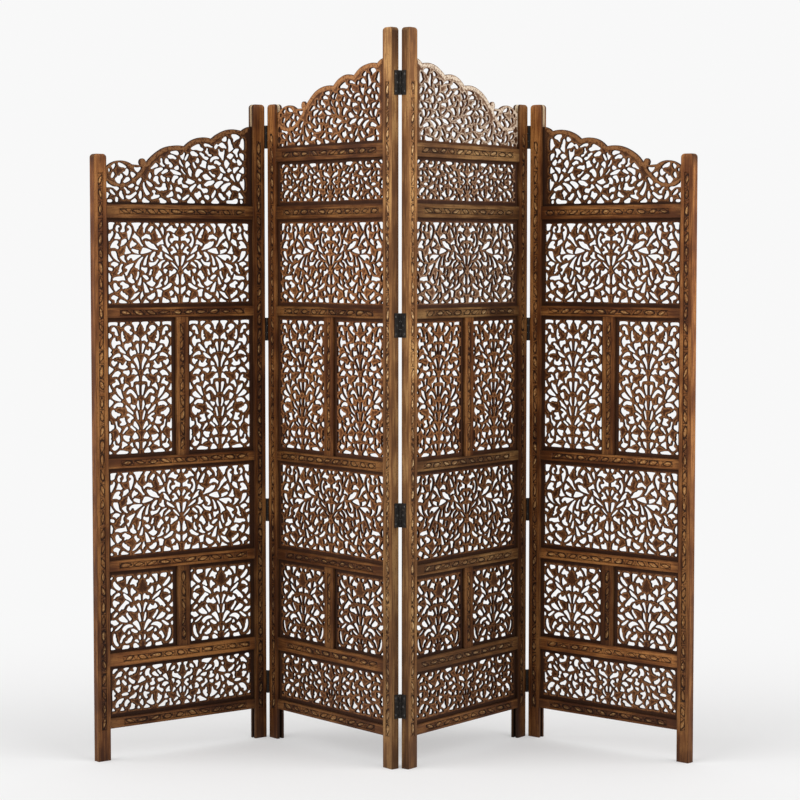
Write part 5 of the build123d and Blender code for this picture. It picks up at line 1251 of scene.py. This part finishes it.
def bars_piece(node, leaf, members, material, seed, side_shade=1):
    """Piece of one or more carved bars that stands in for a CAD node of the leaf."""
    tone = TONES[leaf][node]
    points, faces = [], []
    values = {"wear_and_shade": [], "rubbed_and_lit": [], "tone": []}
    for k, bar in enumerate(members):
        p, f, wear_and_shade, rubbed_and_lit = bar_mesh(bar, seed + 10 * k)
        p = np.array(p)
        on_side = (p[:, 0] < 0.1) | (p[:, 0] > bar.width - 0.1)
        if bar.axis == "x":
            p = p[:, ::-1]
            f = [face[::-1] for face in f]
        start = len(points)
        faces += [tuple(start + i for i in face) for face in f]
        points += (p + bar.corner).tolist()
        values["wear_and_shade"] += wear_and_shade
        values["rubbed_and_lit"] += rubbed_and_lit
        values["tone"] += np.where(on_side, tone * side_shade, tone).tolist()
    add_piece(leaf + "_" + node + "_carved", leaf, points, faces, values, material,
              [leaf + "_" + node], sharp=35)


# ---------------------------------------------------------------- finishes

def node_tree(name):
    """New material with an empty node tree."""
    material = bpy.data.materials.new(name)
    material.use_nodes = True
    tree = material.node_tree
    tree.nodes.clear()
    return material, tree


def link(tree, source, target):
    tree.links.new(source, target)


def add(tree, kind, **settings):
    """New node, with its settings."""
    node = tree.nodes.new(kind)
    for key, value in settings.items():
        setattr(node, key, value)
    return node


def feed(tree, socket, value):
    """Link an output to a socket, or set the socket to a colour or a number."""
    if hasattr(value, "links"):
        link(tree, value, socket)
    else:
        socket.default_value = (*value, 1) if isinstance(value, tuple) else value


def attribute(tree, name):
    return add(tree, "ShaderNodeAttribute", attribute_name=name).outputs["Fac"]


def ramp(tree, source, stops):
    """Colour that runs through the stops, each a place and a colour."""
    node = add(tree, "ShaderNodeValToRGB")
    elements = node.color_ramp.elements
    while len(elements) < len(stops):
        elements.new(0.5)
    for element, (place, colour) in zip(elements, stops):
        element.position = place
        element.color = (*colour, 1)
    link(tree, source, node.inputs["Fac"])
    return node.outputs["Color"]


def soft_range(tree, source, low, high):
    """Soft step of a value from 0 at low to 1 at high."""
    node = add(tree, "ShaderNodeMapRange", interpolation_type="SMOOTHSTEP")
    node.inputs["From Min"].default_value = low
    node.inputs["From Max"].default_value = high
    link(tree, source, node.inputs["Value"])
    return node.outputs["Result"]


def mix(tree, factor, first, second, blend="MIX"):
    """Blend of two colours. The node's sockets 0, 6 and 7 take the factor and the colours."""
    node = add(tree, "ShaderNodeMix", data_type="RGBA", blend_type=blend)
    for index, value in ((0, factor), (6, first), (7, second)):
        feed(tree, node.inputs[index], value)
    return node.outputs[2]


def calc(tree, operation, *values):
    node = add(tree, "ShaderNodeMath", operation=operation)
    for index, value in enumerate(values):
        feed(tree, node.inputs[index], value)
    return node.outputs[0]


def times(tree, first, second):
    return calc(tree, "MULTIPLY", first, second)


def triple(tree, *values):
    """Vector or grey colour of three values."""
    node = add(tree, "ShaderNodeCombineXYZ")
    for index, value in enumerate(values):
        feed(tree, node.inputs[index], value)
    return node.outputs[0]


def noise(tree, vector, scale, detail=3, rough=0.55):
    node = add(tree, "ShaderNodeTexNoise")
    link(tree, vector, node.inputs["Vector"])
    node.inputs["Scale"].default_value = scale
    node.inputs["Detail"].default_value = detail
    node.inputs["Roughness"].default_value = rough
    return node.outputs["Fac"]


def surface(tree, colour, rough, height, strength, distance):
    """Shader with a bump, joined to the material's output. Gives the shader."""
    shader = add(tree, "ShaderNodeBsdfPrincipled")
    link(tree, colour, shader.inputs["Base Color"])
    link(tree, rough, shader.inputs["Roughness"])
    bump = add(tree, "ShaderNodeBump")
    bump.inputs["Strength"].default_value = strength
    bump.inputs["Distance"].default_value = distance
    link(tree, height, bump.inputs["Height"])
    link(tree, bump.outputs[0], shader.inputs["Normal"])
    out = add(tree, "ShaderNodeOutputMaterial")
    link(tree, shader.outputs[0], out.inputs[0])
    return shader


def wood(name, stretch, colours, shade_by_height=((0, 1), (1, 1))):
    """Stained hardwood: grain along one direction, dark stain with painted shade in the cuts, pale high
    spots of wear and painted highlight.

    colours are the grain's dark, middle and pale, the dark of the cuts in stain and painted shade, and the
    rubbed spots in wear and painted highlight.
    The last argument lists heights in metres and how many times paler than the plain stain the finish is
    painted there, as painted light and shade.
    """
    dark, middle, pale, recess, worn_and_lit = colours
    material, tree = node_tree(name)
    place = add(tree, "ShaderNodeTexCoord").outputs["Object"]
    tone, wear_and_shade, rubbed_and_lit = (attribute(tree, key) for key in ("tone", "wear_and_shade", "rubbed_and_lit"))

    # a piece's tone also moves it through the grain, so that like pieces of another tone look different
    moved = add(tree, "ShaderNodeVectorMath", operation="ADD")
    link(tree, place, moved.inputs[0])
    link(tree, triple(tree, *(times(tree, tone, shift) for shift in (3.1, 4.1, 5.1))), moved.inputs[1])
    moved = moved.outputs[0]
    grain = add(tree, "ShaderNodeMapping")
    grain.inputs["Scale"].default_value = stretch
    link(tree, moved, grain.inputs["Vector"])
    grain = grain.outputs[0]
    streak = noise(tree, grain, 210, 4, 0.6)
    broad = noise(tree, grain, 38, 3, 0.5)
    pores = noise(tree, grain, 330, 2, 0.5)
    blotch = noise(tree, moved, 9, 3, 0.5)
    marks = noise(tree, moved, 230, 2, 0.5)
    figure = calc(tree, "ADD", times(tree, streak, 0.45), times(tree, broad, 0.55))
    figure = calc(tree, "ADD", figure, times(tree, calc(tree, "SUBTRACT", blotch, 0.5), 0.5))
    colour = ramp(tree, figure, [(0.4, dark), (0.5, middle), (0.61, pale)])
    colour = mix(tree, times(tree, soft_range(tree, pores, 0.56, 0.66), 0.6), colour, dark)

    # rubbed tops with painted highlights, nicks, the combed lines of the leaves, and the stain and painted
    # shade left in every cut, groove and opening's wall
    rubbed_lit_mask = times(tree, rubbed_and_lit, soft_range(tree, marks, 0.3, 0.6))
    colour = mix(tree, times(tree, rubbed_lit_mask, 0.75), colour, worn_and_lit)
    colour = mix(tree, times(tree, soft_range(tree, marks, 0.44, 0.3), 0.55), colour, dark)
    combed = calc(tree, "SINE", times(tree, attribute(tree, "comb"), 2 * math.pi / COMB_PITCH))
    lines = times(tree, soft_range(tree, combed, 0.1, 0.85), attribute(tree, "leafy"))
    colour = mix(tree, times(tree, lines, 0.85), colour, recess)
    stain_and_shade = calc(tree, "SUBTRACT", 1.0, calc(tree, "MINIMUM", times(tree, wear_and_shade, 1.25), 1.0))
    colour = mix(tree, stain_and_shade, colour, recess)

    # the piece's own tone with painted light and shade in it, painted light and shade by height, and raw
    # wood with a painted highlight in the open ends of the grooves
    palest, tallest = max(paler for _, paler in shade_by_height), shade_by_height[-1][0]
    height = add(tree, "ShaderNodeSeparateXYZ")
    link(tree, place, height.inputs[0])
    stops = [(z / tallest, (paler / palest,) * 3) for z, paler in shade_by_height]
    by_height = ramp(tree, calc(tree, "DIVIDE", height.outputs["Z"], tallest), stops)
    shade = times(tree, tone, 2.0 * palest)
    colour = mix(tree, 1.0, colour, triple(tree, shade, shade, shade), "MULTIPLY")
    colour = mix(tree, 1.0, colour, by_height, "MULTIPLY")
    raw_and_glare = ramp(tree, streak, [(0.35, (0.6, 0.45, 0.28)), (0.6, (0.95, 0.86, 0.7))])
    colour = mix(tree, soft_range(tree, rubbed_and_lit, 1.42, 1.52), colour, raw_and_glare)
    rough = calc(tree, "ADD", 0.5, times(tree, stain_and_shade, 0.3))
    shader = surface(tree, colour, rough, calc(tree, "SUBTRACT", streak, lines), 0.25, 0.0006)
    shader.inputs["Specular IOR Level"].default_value = 0.15
    return material


def iron(name, first, second, third):
    """Blackened iron, a little browned and rubbed."""
    material, tree = node_tree(name)
    place = add(tree, "ShaderNodeTexCoord").outputs["Object"]
    patch = noise(tree, place, 120, 4, 0.6)
    fine = noise(tree, place, 700, 2, 0.5)
    colour = ramp(tree, patch, [(0.35, first), (0.6, second), (0.75, third)])
    rough = calc(tree, "ADD", 0.25, times(tree, patch, 0.4))
    shader = surface(tree, colour, rough, fine, 0.3, 0.0004)
    shader.inputs["Metallic"].default_value = 0.7
    return material


# Spacing of the combed lines in the leaves, in millimetres
COMB_PITCH = 5.2
# Grain is drawn out along the axis with the small factor
UPRIGHT, LEVEL, BOARD_GRAIN = (1, 1, 0.06), (0.06, 1, 1), (1, 1, 0.1)
# Colours of each finish: dark, middle and pale grain, then the stain and painted shade in the cuts, and the
# rubbed spots with painted highlights
FRAME = (
    (0.077, 0.023, 0.006), (0.165, 0.058, 0.015), (0.31, 0.13, 0.037),
    (0.016, 0.007, 0.004), (0.55, 0.33, 0.13),
)
CARVED = (
    (0.09, 0.027, 0.008), (0.17, 0.056, 0.016), (0.28, 0.11, 0.035),
    (0.04, 0.015, 0.007), (0.42, 0.19, 0.07),
)
# The next two finishes paint a faint and a strong sheen, the lamp's glare on the varnish, into the colour
FAINT_SHEEN = (
    (0.1, 0.036, 0.014), (0.19, 0.075, 0.03), (0.3, 0.15, 0.075),
    (0.045, 0.018, 0.01), (0.5, 0.32, 0.19),
)
STRONG_SHEEN = (
    (0.14, 0.06, 0.025), (0.27, 0.14, 0.075), (0.45, 0.3, 0.19),
    (0.08, 0.027, 0.008), (0.82, 0.68, 0.53),
)
# A paler finish for the centre stiles and the right inner leaf's rails, partly stain and partly painted
# light
PALE_AND_LIT = (
    (0.09, 0.036, 0.012), (0.18, 0.079, 0.026), (0.33, 0.175, 0.063),
    (0.02, 0.009, 0.005), (0.62, 0.43, 0.22),
)
# Painted light and shade on the uprights: darker at the foot and paler towards the top
SHADE_BY_HEIGHT = ((0, 0.7), (0.35, 0.74), (1.1, 1.28), (1.83, 1.4))

upright_wood = wood("stained_wood_upright", UPRIGHT, FRAME, SHADE_BY_HEIGHT)
level_wood = wood("stained_wood_level", LEVEL, FRAME)
board_wood = wood("carved_board", BOARD_GRAIN, CARVED)
faint_sheen_board = wood("painted_faint_sheen_board", BOARD_GRAIN, FAINT_SHEEN)
strong_sheen_board = wood("painted_strong_sheen_board", BOARD_GRAIN, STRONG_SHEEN)
pale_lit_upright = wood("pale_lit_wood_upright", UPRIGHT, PALE_AND_LIT, SHADE_BY_HEIGHT)
pale_lit_level = wood("pale_lit_wood_level", LEVEL, PALE_AND_LIT)
black_iron = iron("blackened_iron", (0.009, 0.008, 0.007), (0.024, 0.02, 0.017), (0.1, 0.075, 0.055))
worn_iron = iron("worn_iron", (0.03, 0.028, 0.026), (0.09, 0.085, 0.08), (0.25, 0.24, 0.22))


# ---------------------------------------------------------------- the leaves

# How dark or pale each piece is, partly its stain and partly painted light and shade: 0.5 is the plain stain
TONES = {
    "left_outer": {
        "low_stile": 0.49, "high_stile": 0.42, "bottom_rail": 0.33, "cross_rails": 0.53, "crest_rail": 0.41,
        "muntins": 0.42, "base_panel": 0.28, "short_panels": 0.31, "lower_panel": 0.42, "tall_panels": 0.42,
        "upper_panel": 0.44, "crest_panel": 0.3,
    },
    "left_inner": {
        "low_stile": 0.53, "high_stile": 0.63, "bottom_rail": 0.34, "cross_rails": 0.4, "crest_rail": 0.44,
        "muntins": 0.45, "base_panel": 0.36, "short_panels": 0.36, "lower_panel": 0.49, "tall_panels": 0.62,
        "upper_panel": 0.64, "crest_panel": 0.56, "frieze_panel": 0.51,
    },
    "right_inner": {
        "low_stile": 0.31, "high_stile": 0.69, "bottom_rail": 0.34, "cross_rails": 0.42, "crest_rail": 0.5,
        "muntins": 0.42, "base_panel": 0.31, "short_panels": 0.29, "lower_panel": 0.33, "tall_panels": 0.49,
        "upper_panel": 0.51, "crest_panel": 0.5, "frieze_panel": 0.5,
    },
    "right_outer": {
        "low_stile": 0.56, "high_stile": 0.6, "bottom_rail": 0.42, "cross_rails": 0.62, "crest_rail": 0.56,
        "muntins": 0.46, "base_panel": 0.36, "short_panels": 0.39, "lower_panel": 0.42, "tall_panels": 0.46,
        "upper_panel": 0.44, "crest_panel": 0.36,
    },
}
# Painted light and shade, partly stain, of a stile's two edges against its faces, where they differ
SIDE_SHADE = {
    ("left_outer", "low_stile"): 1.45, ("left_inner", "high_stile"): 0.88,
    ("right_inner", "high_stile"): 1.02, ("right_outer", "low_stile"): 1.45,
}
# Boards painted with the lamp's glare on their varnish instead of the usual finish, strong on the crest and
# faint below
BOARD_FINISH = {
    ("right_inner", "crest_panel"): strong_sheen_board, ("right_inner", "frieze_panel"): faint_sheen_board,
    ("right_inner", "upper_panel"): faint_sheen_board,
}
# Height of the low and the high stile, and how far below its top each is plain
STILES = {"outer": ((OUTER_TOP, 45), (FOLD_TOP, 95)), "inner": ((FOLD_TOP, 75), (CENTRE_TOP, 130))}
STILE_FOOT = 78
MUNTIN_END = 12

# Each pattern as it was drawn: its openings, full height, and reach from the stem
WIDE_DRAWN = (WIDE, 228, 208.5)
TALL_DRAWN = (TALL, 353, 91.7)
SHORT_DRAWN = (SHORT, 207, 91.7)
LOW_DRAWN = (LOW, 131, 208.5)
# Front sheets of the boards: first those that all leaves share, then those that outer or inner leaves have
sheets = {
    "lower_panel": [panel_shape(*WIDE_DRAWN, INSIDE, LEVELS["lower"])],
    "upper_panel": [panel_shape(*WIDE_DRAWN, INSIDE, LEVELS["upper"], size=1.025)],
    "tall_panels": [panel_shape(*TALL_DRAWN, bay, LEVELS["tall"]) for bay in BAYS],
    "short_panels": [panel_shape(*SHORT_DRAWN, bay, LEVELS["short"]) for bay in BAYS],
    "frieze_panel": [panel_shape(*LOW_DRAWN, INSIDE, LEVELS["frieze"], size=0.92)],
}
own_sheets = {
    ("outer", "base_panel"): [panel_shape(*LOW_DRAWN, INSIDE, LEVELS["base"], size=0.94)],
    ("inner", "base_panel"): [panel_shape(*LOW_DRAWN, INSIDE, LEVELS["base"], size=0.89)],
    ("outer", "crest_panel"): [crest_shape(OUTER_CREST, 1)],
    ("inner", "crest_panel"): [crest_shape(INNER_CREST, 0.93)],
}
# Boards of a leaf, in the order of their seeds
BOARDS = (
    "base_panel", "short_panels", "lower_panel", "tall_panels", "upper_panel", "crest_panel", "frieze_panel",
)


def rail(low, high, grooves=(True, True)):
    """Rail between the stiles, with a plain stretch of chance length at each end of its band."""
    plain = rng.uniform(12, 38, 2)
    return Bar("x", (STILE, RAIL_SET, low), high - low, RAIL_THICK, LEAF - 2 * STILE, grooves, plain)


def muntin(low, high):
    """Upright between two panels."""
    corner, plain = (BAYS[0][1], RAIL_SET, low), (MUNTIN_END, MUNTIN_END)
    return Bar("z", corner, MUNTIN, RAIL_THICK, high - low, (True, True), plain)


def build_leaf(leaf, seed):
    """All wood of one leaf: stiles, rails, muntins and boards."""
    kind = leaf.split("_")[1]
    inner = kind == "inner"
    crest = INNER_CREST if inner else OUTER_CREST
    stile_finish = (upright_wood, pale_lit_upright if inner else upright_wood)
    for side, node in enumerate(("low_stile", "high_stile")):
        top, plain_top = STILES[kind][side]
        corner, grooves = ((0, 0, 0), (False, True)) if side == 0 else ((LEAF - STILE, 0, 0), (True, False))
        bare = crest + (CREST_LOW, CREST_HIGH)[side]
        stile = Bar("z", corner, STILE, STILE_THICK, top, grooves, (STILE_FOOT, plain_top), True, bare)
        bars_piece(node, leaf, [stile], stile_finish[side], seed + 1 + side, SIDE_SHADE.get((leaf, node), 1))

    rail_finish = pale_lit_level if leaf == "right_inner" else level_wood
    cross = ["base_rail", "short_rail", "tall_rail", "upper_rail"] + (["frieze_rail"] if inner else [])
    bottom = rail(*LEVELS["bottom_rail"], grooves=(False, True))
    bars_piece("bottom_rail", leaf, [bottom], level_wood, seed + 3)
    bars_piece("cross_rails", leaf, [rail(*LEVELS[level]) for level in cross], rail_finish, seed + 4)
    bars_piece("crest_rail", leaf, [rail(crest - CREST_RAIL, crest)], rail_finish, seed + 5)
    muntins = [muntin(*LEVELS["short"]), muntin(*LEVELS["tall"])]
    bars_piece("muntins", leaf, muntins, upright_wood, seed + 6)

    for k, node in enumerate(BOARDS):
        if node in TONES[leaf]:
            shapes = sheets.get(node) or own_sheets[kind, node]
            board_piece(node, leaf, shapes, BOARD_FINISH.get((leaf, node), board_wood), seed + 20 + 3 * k)


for number, leaf in enumerate(PLACES):
    build_leaf(leaf, 100 * number)


# ---------------------------------------------------------------- hinges

# Screws of a hinge plate: height between them, how far they stand to either side of their line, and a
# head's section as radius and rise, from its middle outwards
SCREW_PITCH = 21
SCREW_STEP = 2.2
SCREW_SIDES = 12
SCREW_HEAD = ((0.8, 0.02), (1.1, 0.24), (2.0, 0.2), (2.7, -0.05))


def screws(name, leaf, x, towards, y, heights):
    """Countersunk screw heads on the hinge plates of one edge, three to a plate."""
    points, faces = [], []
    places = [(height, step) for height in heights for step in (-1, 0, 1)]
    around = [(k, (k + 1) % SCREW_SIDES) for k in range(SCREW_SIDES)]
    for height, step in places:
        start, z = len(points), height + SCREW_PITCH * step
        depth = y + SCREW_STEP * (-1 if step else 1)
        points.append((x + towards * SCREW_HEAD[0][1], depth, z))
        for radius, rise in SCREW_HEAD:
            for k in range(SCREW_SIDES):
                turn = 2 * math.pi * k / SCREW_SIDES
                out, up = radius * math.cos(turn), radius * math.sin(turn)
                points.append((x + towards * rise, depth + out, z + up))
        rings = [start + 1 + SCREW_SIDES * ring for ring in range(len(SCREW_HEAD))]
        faces += [(start, rings[0] + k, rings[0] + after) for k, after in around]
        for low, high in zip(rings, rings[1:]):
            faces += [(low + k, high + k, high + after, low + after) for k, after in around]
        faces.append(tuple(rings[-1] + k for k in range(SCREW_SIDES))[::-1])
    if towards < 0:
        faces = [face[::-1] for face in faces]
    add_piece(name, leaf, points, faces, {"wear_and_shade": np.ones(len(points))}, worn_iron, sharp=30)


# Outer faces of the plates on a leaf's high and low edge, and the line of screws on hinges that fold back
high_plate, low_plate, from_back = LEAF + PLATE_THICK, -PLATE_THICK, STILE_THICK - SCREW_FROM_FACE
for leaf in PLACES:
    if "outer" in leaf:
        screws(leaf + "_fold_screws", leaf, high_plate, 1, SCREW_FROM_FACE, FOLD_HINGES)
    else:
        screws(leaf + "_fold_screws", leaf, low_plate, -1, SCREW_FROM_FACE, FOLD_HINGES)
        screws(leaf + "_centre_screws", leaf, high_plate, 1, from_back, CENTRE_HINGES)

for name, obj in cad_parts.items():
    if "hinges" in name:
        obj.data.materials.clear()
        obj.data.materials.append(black_iron)
        obj.data.set_sharp_from_angle(angle=math.radians(40))


# ---------------------------------------------------------------- studio

# Studio sizes are in metres. The floor runs into the backdrop between the two distances from its middle,
# and lies just under the feet.
PAPER = (0.94, 0.94, 0.94)
FLOOR_HALF = 60
FADE_FROM, FADE_TO = 0.9, 2.6
FLOOR_DROP = 0.0002


def paper(name):
    """Matt paper that takes the shadow near the screen and runs into the backdrop further out."""
    material, tree = node_tree(name)
    matt = add(tree, "ShaderNodeBsdfDiffuse")
    matt.inputs["Color"].default_value = (*PAPER, 1)
    far = add(tree, "ShaderNodeEmission")
    far.inputs["Color"].default_value = (*PAPER, 1)
    distance = add(tree, "ShaderNodeVectorMath", operation="LENGTH")
    link(tree, add(tree, "ShaderNodeTexCoord").outputs["Object"], distance.inputs[0])
    away = times(tree, soft_range(tree, distance.outputs["Value"], FADE_FROM, FADE_TO), 0.65)
    blend = add(tree, "ShaderNodeMixShader")
    link(tree, calc(tree, "ADD", away, 0.35), blend.inputs[0])
    link(tree, matt.outputs[0], blend.inputs[1])
    link(tree, far.outputs[0], blend.inputs[2])
    out = add(tree, "ShaderNodeOutputMaterial")
    link(tree, blend.outputs[0], out.inputs[0])
    return material


corners = [(x * FLOOR_HALF, y * FLOOR_HALF, 0) for x, y in ((-1, -1), (1, -1), (1, 1), (-1, 1))]
mesh = bpy.data.meshes.new("studio_floor")
mesh.from_pydata(corners, [], [(0, 1, 2, 3)])
floor = bpy.data.objects.new("studio_floor", mesh)
bpy.context.scene.collection.objects.link(floor)
mesh.materials.append(paper("studio_paper"))
floor.location.z = -FLOOR_DROP

# The world lights the screen softly, and is seen as plain paper
world = bpy.data.worlds.new("studio")
bpy.context.scene.world = world
world.use_nodes = True
tree = world.node_tree
tree.nodes.clear()
path = add(tree, "ShaderNodeLightPath")
seen = calc(tree, "MAXIMUM", path.outputs["Is Camera Ray"], path.outputs["Is Glossy Ray"])
seen = calc(tree, "MAXIMUM", seen, path.outputs["Is Transmission Ray"])
fill = add(tree, "ShaderNodeBackground")
fill.inputs["Color"].default_value = (1, 1, 1, 1)
fill.inputs["Strength"].default_value = 0.5
back = add(tree, "ShaderNodeBackground")
back.inputs["Color"].default_value = (*PAPER, 1)
back.inputs["Strength"].default_value = 1.0
blend = add(tree, "ShaderNodeMixShader")
link(tree, seen, blend.inputs[0])
link(tree, fill.outputs[0], blend.inputs[1])
link(tree, back.outputs[0], blend.inputs[2])
out = add(tree, "ShaderNodeOutputWorld")
link(tree, blend.outputs[0], out.inputs[0])


def sun(name, towards, strength, spread):
    """Wide soft lamp that shines in one direction."""
    data = bpy.data.lights.new(name, "SUN")
    data.energy = strength
    data.angle = math.radians(spread)
    obj = bpy.data.objects.new(name, data)
    obj.rotation_euler = Vector(towards).to_track_quat("-Z", "Y").to_euler()
    bpy.context.scene.collection.objects.link(obj)


sun("left_softbox", (0.9, 0.4, -0.6), 1.5, 60)
sun("right_softbox", (-0.9, 0.4, -0.6), 1.5, 60)

# Camera, fitted to corners of stiles and rails in the photograph
camera_data = bpy.data.cameras.new("camera")
camera_data.sensor_fit = "HORIZONTAL"
camera_data.sensor_width = 36
camera_data.lens = 102.99
camera_data.clip_end = 200
camera = bpy.data.objects.new("camera", camera_data)
camera.location = (0.0169, -5.8214, 1.2724)
camera.rotation_euler = (math.radians(86.4), 0, 0)
bpy.context.scene.collection.objects.link(camera)
bpy.context.scene.camera = camera
bpy.context.scene.view_settings.view_transform = "Standard"
